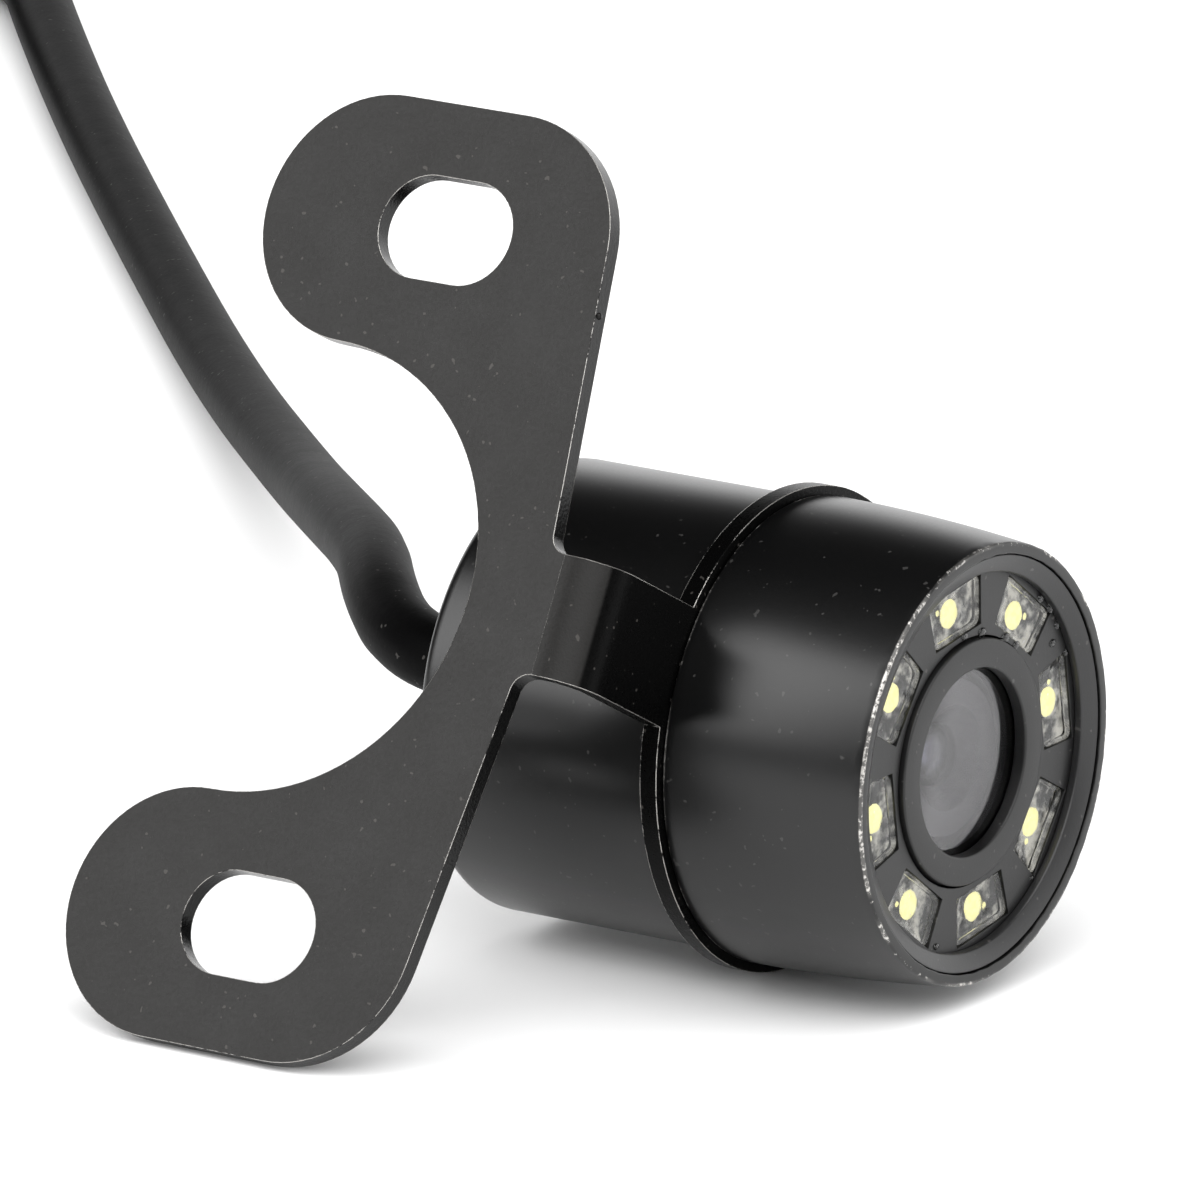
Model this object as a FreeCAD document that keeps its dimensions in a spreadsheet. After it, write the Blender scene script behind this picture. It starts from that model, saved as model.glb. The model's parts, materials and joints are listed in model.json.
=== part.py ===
"""Small reversing camera with eight white lights, in a stamped two-ear bracket, with its lead coiled.

The barrel lies along +X with the lens at the front. It rests on the bracket ring's rim and on the end of
the lower ear, so the mounting plate leans back. Lengths are millimetres and angles are degrees.
The parts on the barrel are drawn in a barrel frame: local +Z runs along the barrel towards the lens,
local +X towards the upper ear, local +Y out through the mounting plate, and the origin is the centre of
the ring's rear face.
"""

import FreeCAD, Part
import math
import os
import Sketcher
from FreeCAD import Matrix, Placement, Rotation, Vector

SIZES = {
    # bracket: one stamped steel sheet
    "sheet_thick": 1.0,
    "ring_radius": 12.7,
    "plate_offset": 21.0,
    "bend_inner_radius": 1.75,
    "tab_width": 6.4,
    "neck_fillet": 1.0,
    "ear_span": 37.2,
    "ear_radius": 6.6,
    "ear_setback": 18.6,
    "corner_radius": 6.9,
    "corner_setback": 11.05,
    "front_edge_slope": 5.9,
    "slot_width": 5.5,
    "slot_length": 8.1,
    "slot_setback": 14.1,
    # camera head: rear housing and front shell
    "running_gap": 0.05,
    "head_turn": 8.2,
    "rear_radius": 11.9,
    "rear_length": 14.5,
    "rear_edge_round": 0.6,
    "rear_wall": 1.6,
    "board_ledge": 0.8,
    "neck_radius": 9.6,
    "neck_length": 5.5,
    "neck_wall": 0.85,
    "shell_rear_radius": 12.2,
    "shell_front_radius": 11.5,
    "shell_front": 12.7,
    "shell_bulge_radius": 102.0,
    "shell_bore": 10.9,
    "shell_ledge": 9.0,
    "shoulder_lip": 1.0,
    "rim_chamfer": 0.2,
    "seal_section": 0.9,
    # lights and the face plate over them
    "face_drop": 1.0,
    "face_thick": 1.1,
    "face_skirt": 0.75,
    "bezel_width": 0.95,
    "bezel_thick": 0.9,
    "bezel_slope": 0.45,
    "light_board_thick": 0.8,
    "light_board_hole": 4.6,
    "lights": 8,
    "light_edge": 0.225,
    "light_width": 3.2,
    "light_height": 0.8,
    "pocket_wall": 0.28,
    "pocket_edge": 1.4,
    "pocket_inner_width": 4.2,
    "pocket_outer_width": 4.9,
    "window_drop": 0.5,
    "window_thick": 0.45,
    # lens
    "lens_ring_radius": 6.45,
    "lens_ring_gap": 0.12,
    "lens_ring_rise": 0.3,
    "lens_ring_bore": 4.9,
    "glass_radius": 5.4,
    "glass_thick": 0.7,
    "glass_drop": 0.75,
    "barrel_radius": 4.0,
    "barrel_rear": 4.2,
    "barrel_gap": 0.35,
    "mouth_depth": 0.7,
    "mouth_flare": 1.1,
    "stop_radius": 1.0,
    "stop_thick": 0.7,
    "front_lens_radius": 1.6,
    "front_lens_edge": 0.6,
    "front_lens_thick": 0.9,
    "rear_lens_radius": 2.6,
    "rear_lens_edge": 1.0,
    "rear_lens_thick": 1.4,
    "lens_spacer_bore": 1.9,
    "lens_spacer_length": 1.6,
    "filter_thick": 0.3,
    # boards
    "holder_side": 11.0,
    "holder_flange": 1.2,
    "holder_edge": 0.2,
    "holder_radius": 4.9,
    "holder_length": 6.5,
    "holder_pocket": 7.0,
    "holder_pocket_depth": 1.7,
    "screw_spread": 4.4,
    "screw_radius": 0.45,
    "screw_head_radius": 0.9,
    "screw_head_thick": 0.6,
    "screw_length": 2.0,
    "board_radius": 8.6,
    "board_thick": 1.0,
    "board_gap": 0.2,
    "sensor_board_rear": 1.0,
    "sensor_side": 5.4,
    "sensor_thick": 0.8,
    "header_edge": 0.75,
    "header_width": 1.6,
    "header_length": 3.2,
    "power_board_rear": -6.0,
    "spacer_radius": 0.9,
    "spacer_edge": 0.45,
    "spacers": 3,
    "chip_side": 4.0,
    "chip_thick": 1.1,
    "chip_edge": 3.55,
    "choke_radius": 2.0,
    "choke_height": 2.4,
    "choke_offset": 3.0,
    # lead, its gland and its wires
    "cable_radius": 2.0,
    "connector_side": 5.2,
    "connector_height": 3.0,
    "wires": 4,
    "wire_radius": 0.45,
    "wire_circle": 1.0,
    "wire_length": 2.5,
    "potting_length": 2.9,
    "potting_bore": 2.4,
    "gland_flange_radius": 4.6,
    "gland_flange_thick": 1.0,
    "gland_throat": 2.9,
    "boot_radius": 3.6,
    "boot_tip_radius": 2.8,
    "boot_length": 1.4,
    "exit_run": 5.0,
    # coiled lead, its tie and its plug
    "coil_radius": 20.5,
    "coil_columns": 2,
    "coil_layers": 2,
    "coil_edge_round": 1.6,
    "tie_thick": 0.6,
    "tie_width": 3.0,
    "tie_angle": 310.0,
    "plug_boot_length": 12.0,
    "plug_boot_radius": 4.4,
    "plug_boot_tip_radius": 2.6,
    "plug_body_radius": 5.2,
    "plug_body_length": 11.0,
    "plug_socket_depth": 6.0,
    "plug_socket_radius": 4.3,
    "plug_collar_gap": 0.05,
    "plug_collar_radius": 6.5,
    "plug_collar_length": 10.0,
    "plug_collar_overhang": 3.0,
    "plug_collar_lip": 0.5,
    "plug_insert_length": 3.0,
    "pins": 4,
    "pin_radius": 0.5,
    "pin_circle": 2.2,
    "pin_length": 2.4,
}

# The lead's route over the floor, in the model's own frame: after its straight run out of the gland, to the
# coil, and then from the coil to the plug.
LEAD_POINTS = [
    (-20.3, 10.8, 13.1),
    (-25.2, 15.2, 13.8),
    (-30.6, 22.4, 13.3),
    (-42.0, 36.3, 10.4),
    (-57.8, 56.2, 5.6),
    (-80.4, 81.0, 2.3),
    (-104.0, 106.0, 2.0),
    (-124.0, 127.4, 2.0),
    (-140.6, 146.0, 2.0),
    (-151.5, 158.6, 2.1),
    (-165.5, 162.6, 2.4),
    (-178.5, 159.6, 2.6),
]
TAIL_POINTS = [
    (-191.3, 124.2, 6.6),
    (-184.6, 115.2, 6.6),
    (-176.8, 107.4, 6.5),
    (-167.6, 101.6, 6.5),
]
COIL_CENTRE = (-173.4, 137.7)
ARC_SHARE = 0.45
X, Z = Vector(1, 0, 0), Vector(0, 0, 1)
TURN = 360.0
PLANES = {"length": "XZ_Plane", "across": "XY_Plane", "side": "YZ_Plane"}

doc = FreeCAD.newDocument("reversing_camera")
sheet = doc.addObject("Spreadsheet::Sheet", "Sizes")
for row, (alias, number) in enumerate(SIZES.items(), start=1):
    sheet.set("A%d" % row, alias)
    sheet.set("B%d" % row, str(number))
    sheet.setAlias("B%d" % row, alias)
doc.recompute()
subparts = []


def size(expression):
    """The value of an expression written in the sheet's aliases."""
    return float(sheet.evalExpression(str(expression)))


def bound(expression):
    """The same expression as another object of the document reads it."""
    out, word = [], ""
    for mark in str(expression) + " ":
        if mark.isalnum() or mark == "_":
            word += mark
            continue
        out.append("Sizes." + word if word in SIZES else word)
        out.append(mark)
        word = ""
    return "".join(out).strip()


# ---- places ----

def stance():
    """The barrel frame's placement: the ring's rim and the lower ear's end stand on the floor."""
    ear_end = size("ear_span / 2 + ear_radius")
    plate_inside = size("plate_offset - sheet_thick")
    reach = math.hypot(ear_end, plate_inside)
    lean = math.atan2(ear_end, plate_inside) - math.asin(size("ring_radius") / reach)
    upward = Vector(0, math.sin(lean), math.cos(lean))
    outward = Vector(0, -math.cos(lean), math.sin(lean))
    rear = -max(size("ear_setback + ear_radius"), size("rear_length + boot_length"))
    nearest = -ear_end * math.sin(lean) - size("plate_offset") * math.cos(lean)
    middle = Vector((rear + size("shell_front")) / 2, (nearest + size("ring_radius")) / 2, 0)
    rise = size("ring_radius")
    return Placement(Matrix(upward.x, outward.x, X.x, -middle.x,
                            upward.y, outward.y, X.y, -middle.y,
                            upward.z, outward.z, X.z, rise,
                            0, 0, 0, 1))


STANCE = stance()
HEAD = STANCE * Placement(Vector(), Rotation(Z, -size("head_turn")))


def keep(thing, label, placement):
    """Names a finished sub-part and sets it where it belongs."""
    thing.Label = label
    thing.Placement = placement
    subparts.append(thing)
    return thing


# ---- drawing and features ----

def drawing_on(body, name, plane, lift=None):
    """A sketch on one of the body's own planes, lifted along the plane's normal."""
    sketch = body.newObject("Sketcher::SketchObject", name)
    role = PLANES[plane]
    sketch.AttachmentSupport = (next(f for f in body.Origin.OriginFeatures if f.Role == role), [""])
    sketch.MapMode = "FlatFace"
    if lift is not None:
        sketch.setExpression("AttachmentOffset.Base.z", bound(lift))
    return sketch


def fix(sketch, kind, *where, to):
    """One dimension of a sketch, bound to an expression."""
    index = sketch.addConstraint(Sketcher.Constraint(kind, *where, size(to)))
    sketch.setExpression("Constraints[%d]" % index, bound(to))


def round_between(here, there, radius, turn):
    """The circle arc from here to there, and which of its ends is here. turn is 1 for a left-hand arc."""
    half = (there - here) * 0.5
    side = Vector(-half.y, half.x, 0)
    side.normalize()
    rise = math.sqrt(max(radius ** 2 - half.Length ** 2, 0.0))
    far = abs(turn) > 1
    centre = here + half + side * rise * (turn / abs(turn)) * (-1 if far else 1)
    start, end = (here, there) if turn > 0 else (there, here)
    angles = [math.atan2(p.y - centre.y, p.x - centre.x) for p in (start, end)]
    if angles[1] < angles[0]:
        angles[1] += 2 * math.pi
    arc = Part.ArcOfCircle(Part.Circle(centre, Z, radius), angles[0], angles[1])
    return arc, (1, 2) if turn > 0 else (2, 1)


def outline(sketch, corners):
    """A closed loop. A corner is (x, y), and (x, y, radius, turn) where an arc leaves it."""
    places = [Vector(size(corner[0]), size(corner[1]), 0) for corner in corners]
    ends = []
    for here, there, corner in zip(places, places[1:] + places[:1], corners):
        if len(corner) == 2:
            piece, marks = Part.LineSegment(here, there), (1, 2)
        else:
            piece, marks = round_between(here, there, size(corner[2]), corner[3])
        ends.append((sketch.addGeometry(piece, False), marks))
    for (index, marks), (after, after_marks), corner in zip(ends, ends[1:] + ends[:1], corners):
        sketch.addConstraint(Sketcher.Constraint("Coincident", index, marks[1], after, after_marks[0]))
        fix(sketch, "DistanceX", -1, 1, index, marks[0], to=corner[0])
        fix(sketch, "DistanceY", -1, 1, index, marks[0], to=corner[1])
        if len(corner) > 2:
            fix(sketch, "Radius", index, to=corner[2])


def circle(sketch, radius, x="0", y="0"):
    """A circle with its centre at (x, y)."""
    index = sketch.addGeometry(Part.Circle(Vector(size(x), size(y), 0), Z, size(radius)), False)
    fix(sketch, "Radius", index, to=radius)
    fix(sketch, "DistanceX", -1, 1, index, 3, to=x)
    fix(sketch, "DistanceY", -1, 1, index, 3, to=y)


def box_outline(sketch, width, height, x="0", y="0"):
    """A rectangle of that width and height about (x, y)."""
    left, right = "%s - (%s) / 2" % (x, width), "%s + (%s) / 2" % (x, width)
    low, high = "%s - (%s) / 2" % (y, height), "%s + (%s) / 2" % (y, height)
    outline(sketch, [(left, low), (right, low), (right, high), (left, high)])


def pull(body, sketch, length, kind="Pad", both=False, back=False):
    """A Pad or a Pocket of that length, along the sketch's normal, against it, or both ways from it."""
    feature = body.newObject("PartDesign::" + kind, sketch.Name + "_" + kind)
    feature.Profile = sketch
    feature.Reversed = back
    if both:
        feature.SideType = "Symmetric"
    feature.setExpression("Length", bound(length))
    return feature


def new_body(name):
    return doc.addObject("PartDesign::Body", name + "_body")


def turned(label, corners, placement):
    """A piece turned about the barrel axis, from corners (radius, place along the axis)."""
    body = new_body(label)
    sketch = drawing_on(body, label + "_section", "length")
    outline(sketch, corners)
    feature = body.newObject("PartDesign::Revolution", label + "_turned")
    feature.Profile = sketch
    feature.ReferenceAxis = (sketch, ["V_Axis"])
    feature.Angle = TURN
    return keep(body, label, placement)


def padded(label, draw, base, length, placement):
    """A piece of one section, from the place called base along the axis. draw fills its sketch."""
    body = new_body(label)
    sketch = drawing_on(body, label + "_section", "across", base)
    draw(sketch)
    pull(body, sketch, length)
    return keep(body, label, placement)


def around(body, feature, sketch, count):
    """Repeats a feature evenly round the barrel axis."""
    pattern = body.newObject("PartDesign::PolarPattern", feature.Name + "_round")
    pattern.Originals = [feature]
    pattern.Axis = (sketch, ["N_Axis"])
    pattern.Angle = TURN
    pattern.setExpression("Occurrences", bound(count))
    body.Tip = pattern


# ---- bracket ----

def bracket():
    """Ring, folded tab and slotted mounting plate, stamped from one sheet."""
    body = new_body("bracket")
    ring = drawing_on(body, "ring", "across")
    circle(ring, "ring_radius")
    pull(body, ring, "sheet_thick")

    fold = drawing_on(body, "fold", "side")
    bend_y = "plate_offset - bend_inner_radius - sheet_thick"
    bend_z = "-bend_inner_radius"
    outer = "bend_inner_radius + sheet_thick"
    outline(fold, [("neck_radius + sheet_thick", "0"), (bend_y, "0", "bend_inner_radius", -1),
                   ("plate_offset - sheet_thick", bend_z), ("plate_offset - sheet_thick", EDGE_AT_TAB),
                   ("plate_offset", EDGE_AT_TAB), ("plate_offset", bend_z, outer, 1),
                   (bend_y, "sheet_thick"), ("neck_radius + sheet_thick", "sheet_thick")])
    pull(body, fold, "tab_width", both=True)

    plate = drawing_on(body, "plate", "length", "-plate_offset")
    outline(plate, plate_corners())
    pull(body, plate, "sheet_thick")

    bore = drawing_on(body, "bore", "across")
    circle(bore, "neck_radius + running_gap")
    pull(body, bore, "sheet_thick", "Pocket", back=True)

    slots = drawing_on(body, "slots", "length", "-plate_offset")
    for side in (1, -1):
        slot_outline(slots, side)
    pull(body, slots, "sheet_thick", "Pocket", back=True)
    return keep(body, "bracket", STANCE)


# The plate's outline, as (place towards an ear, place along the barrel). Its front edge slopes back to the
# ears from the tab's fillets, its front corners and ears are round, and a round notch is cut in behind.
SLOPE_SIN, SLOPE_COS = "sin(front_edge_slope)", "cos(front_edge_slope)"
CORNER_X = "(ear_span / 2 + ear_radius - corner_radius)"
CORNER_FRONT_X = CORNER_X + " + corner_radius * " + SLOPE_SIN
CORNER_FRONT_Z = "-corner_setback + corner_radius * " + SLOPE_COS
FILLET_X = "(tab_width / 2 + neck_fillet)"
EDGE_AT_TAB = "(-corner_setback + corner_radius * %s + (%s - %s) * tan(front_edge_slope))" % (
    SLOPE_COS, CORNER_FRONT_X, FILLET_X)
NOTCH_RADIUS = "(ear_span / 2 - ear_radius)"


def plate_corners():
    upper = [
        (FILLET_X, EDGE_AT_TAB),
        (CORNER_FRONT_X, CORNER_FRONT_Z, "corner_radius", -1),
        ("ear_span / 2 + ear_radius", "-corner_setback"),
        ("ear_span / 2 + ear_radius", "-ear_setback", "ear_radius", -1),
        ("ear_span / 2", "-ear_setback - ear_radius", "ear_radius", -1),
        ("ear_span / 2 - ear_radius", "-ear_setback", NOTCH_RADIUS, 1),
        ("0", "-ear_setback + " + NOTCH_RADIUS, NOTCH_RADIUS, 1),
    ]
    lower = [
        ("-" + NOTCH_RADIUS, "-ear_setback", "ear_radius", -1),
        ("-ear_span / 2", "-ear_setback - ear_radius", "ear_radius", -1),
        ("-(ear_span / 2 + ear_radius)", "-ear_setback"),
        ("-(ear_span / 2 + ear_radius)", "-corner_setback", "corner_radius", -1),
        ("-(%s)" % CORNER_FRONT_X, CORNER_FRONT_Z),
        ("-" + FILLET_X, EDGE_AT_TAB, "neck_fillet", 1),
        ("-tab_width / 2", EDGE_AT_TAB + " + neck_fillet"),
        ("tab_width / 2", EDGE_AT_TAB + " + neck_fillet", "neck_fillet", 1),
    ]
    return upper + lower


def slot_outline(sketch, side):
    """A round-ended slot in one ear, long the way the barrel points."""
    across, half = "slot_width / 2", "(slot_length - slot_width) / 2"
    x = "%d * ear_span / 2" % side
    outline(sketch, [
        (x + " + " + across, "-slot_setback - " + half),
        (x + " + " + across, "-slot_setback + " + half, across, 1),
        (x, "-slot_setback + slot_length / 2", across, 1),
        (x + " - " + across, "-slot_setback + " + half),
        (x + " - " + across, "-slot_setback - " + half, across, 1),
        (x, "-slot_setback - slot_length / 2", across, 1)])


# ---- camera head ----

BOARD_BORE = "(board_radius + board_gap)"
NECK_BORE = "(neck_radius - neck_wall)"
REAR_BORE = "(board_radius - board_ledge)"
SENSOR_BOARD_RADIUS = "(neck_radius - neck_wall - board_gap)"
BOARD_RIM = "min(board_radius; neck_radius - neck_wall - board_gap)"
SHOULDER_BORE = "(neck_radius - shoulder_lip)"
POCKET_INNER = "(lens_ring_radius + lens_ring_gap + pocket_wall)"
POCKET_OUTER = "(shell_bore - pocket_edge)"
LIGHT_LENGTH = "(%s - %s - 2 * light_edge)" % (POCKET_OUTER, POCKET_INNER)
FACE = "(shell_front - face_drop)"
GLASS_FRONT = "(shell_front - face_drop + lens_ring_rise - glass_drop)"
LIGHT_BOARD_FRONT = "(shell_ledge + light_board_thick)"
SENSOR_FRONT = "(sensor_board_rear + board_thick)"
POWER_FRONT = "(power_board_rear + board_thick)"
LEAD_END = "(power_board_rear - connector_height - wire_length)"
INSIDE_REAR = "(-rear_length + rear_wall)"


def rear_housing():
    """Cup with a threaded neck that passes through the bracket's ring."""
    rounded = "rear_edge_round"
    turned("rear_housing", [
        ("gland_throat", "-rear_length"), ("rear_radius - " + rounded, "-rear_length", rounded, 1),
        ("rear_radius", "-rear_length + " + rounded), ("rear_radius", "-running_gap"),
        ("neck_radius", "-running_gap"), ("neck_radius", "neck_length"),
        (NECK_BORE, "neck_length"), (NECK_BORE, "-rear_wall"), (BOARD_BORE, "-rear_wall"),
        (BOARD_BORE, "power_board_rear"), (REAR_BORE, "power_board_rear"), (REAR_BORE, INSIDE_REAR),
        ("gland_throat", INSIDE_REAR),
    ], HEAD)


def front_shell():
    """Barrel-shaped sleeve, screwed on the neck, that holds the lights and the glass."""
    rear = "(sheet_thick + running_gap)"
    turned("front_shell", [
        ("neck_radius", rear), ("shell_rear_radius", rear, "shell_bulge_radius", 1),
        ("shell_front_radius", "shell_front - rim_chamfer"),
        ("shell_front_radius - rim_chamfer", "shell_front"), ("shell_bore", "shell_front"),
        ("shell_bore", "shell_ledge"), (SHOULDER_BORE, "shell_ledge"),
        (SHOULDER_BORE, "neck_length + seal_section"), ("neck_radius", "neck_length + seal_section"),
    ], HEAD)


def shell_seal():
    """O-ring between the end of the neck and the shell's shoulder."""
    ring = doc.addObject("Part::Torus", "seal_ring")
    ring.setExpression("Radius1", bound("neck_radius - seal_section / 2"))
    ring.setExpression("Radius2", bound("seal_section / 2"))
    keep(ring, "shell_seal", HEAD * Placement(Z * size("neck_length + seal_section / 2"), Rotation()))


def bezel_ring():
    """Sloping trim ring inside the shell's rim."""
    outside = "shell_bore - running_gap"
    inside = outside + " - bezel_width"
    turned("front_bezel_ring", [
        (inside, FACE), (outside, FACE), (outside, FACE + " + bezel_thick"),
        (inside, FACE + " + bezel_thick - bezel_slope")], HEAD)


def pocket_outline(sketch):
    """The tapering outline of one light's pocket, and of the window that fills it."""
    inner, outer = "pocket_inner_width / 2", "pocket_outer_width / 2"
    near, far = POCKET_INNER, POCKET_OUTER
    outline(sketch, [(near, "-" + inner), (far, "-" + outer), (far, outer), (near, inner)])


def face_plate():
    """Plate over the lights, with a pocket for each and a skirt down to their board."""
    label = "led_face_plate"
    inside, outside = "lens_ring_radius + lens_ring_gap", "shell_bore - running_gap"
    body = turned(label, [
        (inside, FACE + " - face_thick"), (outside + " - face_skirt", FACE + " - face_thick"),
        (outside + " - face_skirt", LIGHT_BOARD_FRONT), (outside, LIGHT_BOARD_FRONT),
        (outside, FACE), (inside, FACE)], HEAD)
    sketch = drawing_on(body, label + "_pocket", "across", FACE)
    pocket_outline(sketch)
    cut = pull(body, sketch, "face_thick", "Pocket")
    around(body, cut, sketch, "lights")


def light_board():
    """Ring board that lies on the shell's ledge."""
    top, bottom = LIGHT_BOARD_FRONT, "shell_ledge"
    turned("led_ring_board", [
        ("light_board_hole", bottom), ("shell_bore - running_gap", bottom),
        ("shell_bore - running_gap", top), ("light_board_hole", top)], HEAD)


def lights():
    """The lights on their board and the clear windows over them."""
    count = int(size("lights"))
    place, length = "(%s + %s) / 2" % (POCKET_INNER, POCKET_OUTER), LIGHT_LENGTH
    for number in range(count):
        there = HEAD * Placement(Vector(), Rotation(Z, -TURN * number / count))
        padded("led_%d" % (number + 1),
               lambda sketch: box_outline(sketch, length, "light_width", place),
               LIGHT_BOARD_FRONT, "light_height", there)
        padded("led_window_%d" % (number + 1), pocket_outline,
               FACE + " - window_drop - window_thick", "window_thick", there)


def lens_front():
    """Ring round the lens, its cover glass and the seal under the glass."""
    top = FACE + " + lens_ring_rise"
    turned("lens_bezel", [
        ("glass_radius", LIGHT_BOARD_FRONT), ("lens_ring_radius", LIGHT_BOARD_FRONT),
        ("lens_ring_radius", top), ("lens_ring_bore", top),
        ("lens_ring_bore", GLASS_FRONT), ("glass_radius", GLASS_FRONT)], HEAD)
    padded("cover_glass", lambda sketch: circle(sketch, "glass_radius"),
           GLASS_FRONT + " - glass_thick", "glass_thick", HEAD)
    seal_top = GLASS_FRONT + " - glass_thick"
    turned("glass_seal", [
        ("light_board_hole + running_gap", LIGHT_BOARD_FRONT), ("glass_radius", LIGHT_BOARD_FRONT),
        ("glass_radius", seal_top), ("light_board_hole + running_gap", seal_top)], HEAD)


MOUTH = "(shell_front - face_drop + lens_ring_rise - glass_drop - glass_thick - barrel_gap)"
FRONT_LENS_FRONT = "(%s - mouth_depth)" % MOUTH
STOP_FRONT = "(%s - front_lens_thick)" % FRONT_LENS_FRONT
STOP_REAR = "(%s - stop_thick)" % STOP_FRONT
SPACER_FRONT = "(%s - rear_lens_thick)" % STOP_REAR
SPACER_REAR = "(%s - lens_spacer_length)" % SPACER_FRONT


def cap_radius(base, rise):
    """The radius of a round cap over a circle of radius base, with that rise."""
    return "((%s) * (%s) + (%s) * (%s)) / (2 * (%s))" % (base, base, rise, rise, rise)


def lens_barrel():
    turned("lens_barrel", [
        ("rear_lens_radius", "barrel_rear"), ("barrel_radius", "barrel_rear"), ("barrel_radius", MOUTH),
        ("front_lens_radius + mouth_flare", MOUTH), ("front_lens_radius", FRONT_LENS_FRONT),
        ("front_lens_radius", STOP_FRONT), ("stop_radius", STOP_FRONT), ("stop_radius", STOP_REAR),
        ("rear_lens_radius", STOP_REAR)], HEAD)


def lens_glass():
    """Two lenses, the spacer behind them and the filter."""
    bulge = "front_lens_thick - front_lens_edge"
    turned("front_lens", [
        ("0", STOP_FRONT), ("front_lens_radius", STOP_FRONT),
        ("front_lens_radius", STOP_FRONT + " + front_lens_edge", cap_radius("front_lens_radius", bulge), 1),
        ("0", FRONT_LENS_FRONT)], HEAD)
    bulge = "rear_lens_thick - rear_lens_edge"
    turned("rear_lens", [
        ("0", SPACER_FRONT, cap_radius("rear_lens_radius", bulge), 1),
        ("rear_lens_radius", "%s + %s" % (SPACER_FRONT, bulge)), ("rear_lens_radius", STOP_REAR),
        ("0", STOP_REAR)], HEAD)
    dome = "(%s)" % cap_radius("rear_lens_radius", bulge)
    seat = "%s + %s - sqrt(%s * %s - lens_spacer_bore * lens_spacer_bore)" % (SPACER_FRONT, dome, dome, dome)
    turned("lens_spacer", [
        ("lens_spacer_bore", SPACER_REAR), ("rear_lens_radius", SPACER_REAR),
        ("rear_lens_radius", seat), ("lens_spacer_bore", seat)], HEAD)
    padded("ir_filter", lambda sketch: circle(sketch, "rear_lens_radius"),
           SPACER_REAR + " - filter_thick", "filter_thick", HEAD)


def lens_holder():
    """Holder that the lens barrel screws into. Its square foot stays inside the sensor board's rim."""
    body = new_body("lens_holder")
    foot = drawing_on(body, "foot", "across", SENSOR_FRONT)
    box_outline(foot, "holder_side", "holder_side")
    pull(body, foot, "holder_flange")
    corners = drawing_on(body, "foot_corners", "across", SENSOR_FRONT)
    circle(corners, "holder_side")
    circle(corners, SENSOR_BOARD_RADIUS + " - holder_edge")
    pull(body, corners, "holder_flange", "Pocket", back=True)
    tube = drawing_on(body, "tube", "across", SENSOR_FRONT)
    circle(tube, "holder_radius")
    pull(body, tube, "holder_length")
    bore = drawing_on(body, "holder_bore", "across", SENSOR_FRONT)
    circle(bore, "barrel_radius")
    pull(body, bore, "holder_length", "Pocket", back=True)
    room = drawing_on(body, "sensor_room", "across", SENSOR_FRONT)
    box_outline(room, "holder_pocket", "holder_pocket")
    pull(body, room, "holder_pocket_depth", "Pocket", back=True)
    holes = drawing_on(body, "screw_holes", "across", SENSOR_FRONT)
    for side in ("screw_spread", "-screw_spread"):
        circle(holes, "screw_radius", side, side)
    pull(body, holes, "holder_flange", "Pocket", back=True)
    keep(body, "lens_holder", HEAD)


def holder_screws():
    """The two screws through the holder's foot and the sensor board."""
    screws = []
    for name, side in (("a", "screw_spread"), ("b", "-screw_spread")):
        for part, radius, base, length in (
                ("shank", "screw_radius", SENSOR_FRONT + " + holder_flange - screw_length", "screw_length"),
                ("cap", "screw_head_radius", SENSOR_FRONT + " + holder_flange", "screw_head_thick")):
            piece = doc.addObject("Part::Cylinder", "screw_%s_%s" % (part, name))
            piece.setExpression("Radius", bound(radius))
            piece.setExpression("Height", bound(length))
            for axis, there in (("x", side), ("y", side), ("z", base)):
                piece.setExpression("Placement.Base." + axis, bound(there))
            screws.append(piece)
    group = doc.addObject("Part::MultiFuse", "screws")
    group.Shapes = screws
    keep(group, "holder_screws", HEAD)


def board(label, radius, rear, holes):
    """A round board, with the holes that holes draws."""
    body = new_body(label)
    sketch = drawing_on(body, label + "_section", "across", rear)
    circle(sketch, radius)
    holes(sketch)
    pull(body, sketch, "board_thick")
    keep(body, label, HEAD)


def screw_holes(sketch):
    for side in ("screw_spread", "-screw_spread"):
        circle(sketch, "screw_radius", side, side)


def electronics():
    board("sensor_board", SENSOR_BOARD_RADIUS, "sensor_board_rear", screw_holes)
    board("power_board", "board_radius", "power_board_rear", lambda sketch: None)
    between = "sensor_board_rear - " + POWER_FRONT
    padded("image_sensor", lambda sketch: box_outline(sketch, "sensor_side", "sensor_side"),
           SENSOR_FRONT, "sensor_thick", HEAD)
    padded("board_header",
           lambda sketch: box_outline(sketch, "header_width", "header_length",
                                      BOARD_RIM + " - header_edge - header_width / 2"),
           POWER_FRONT, between, HEAD)
    chip_place = "-(%s - chip_edge - chip_side / 2)" % BOARD_RIM
    padded("power_chip", lambda sketch: box_outline(sketch, "chip_side", "chip_side", "0", chip_place),
           POWER_FRONT, "chip_thick", HEAD)
    padded("power_choke", lambda sketch: circle(sketch, "choke_radius", "0", "choke_offset"),
           POWER_FRONT, "choke_height", HEAD)
    padded("lead_connector", lambda sketch: box_outline(sketch, "connector_side", "connector_side"),
           "power_board_rear - connector_height", "connector_height", HEAD)
    half_step = TURN / size("spacers") / 2
    circle_radius = "(%s - spacer_edge - spacer_radius)" % BOARD_RIM
    padded("board_spacers", lambda sketch: ring_of_circles(sketch, "spacers", circle_radius,
                                                           "spacer_radius", half_step),
           POWER_FRONT, between, HEAD)


def ring_of_circles(sketch, count, pitch_radius, radius, first):
    """Circles evenly spaced on a pitch circle, the first at an angle of first degrees."""
    for number in range(int(size(count))):
        angle = "(%r + %r * %d / %s)" % (first, TURN, number, count)
        circle(sketch, radius, "%s * cos(%s)" % (pitch_radius, angle), "%s * sin(%s)" % (pitch_radius, angle))


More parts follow.
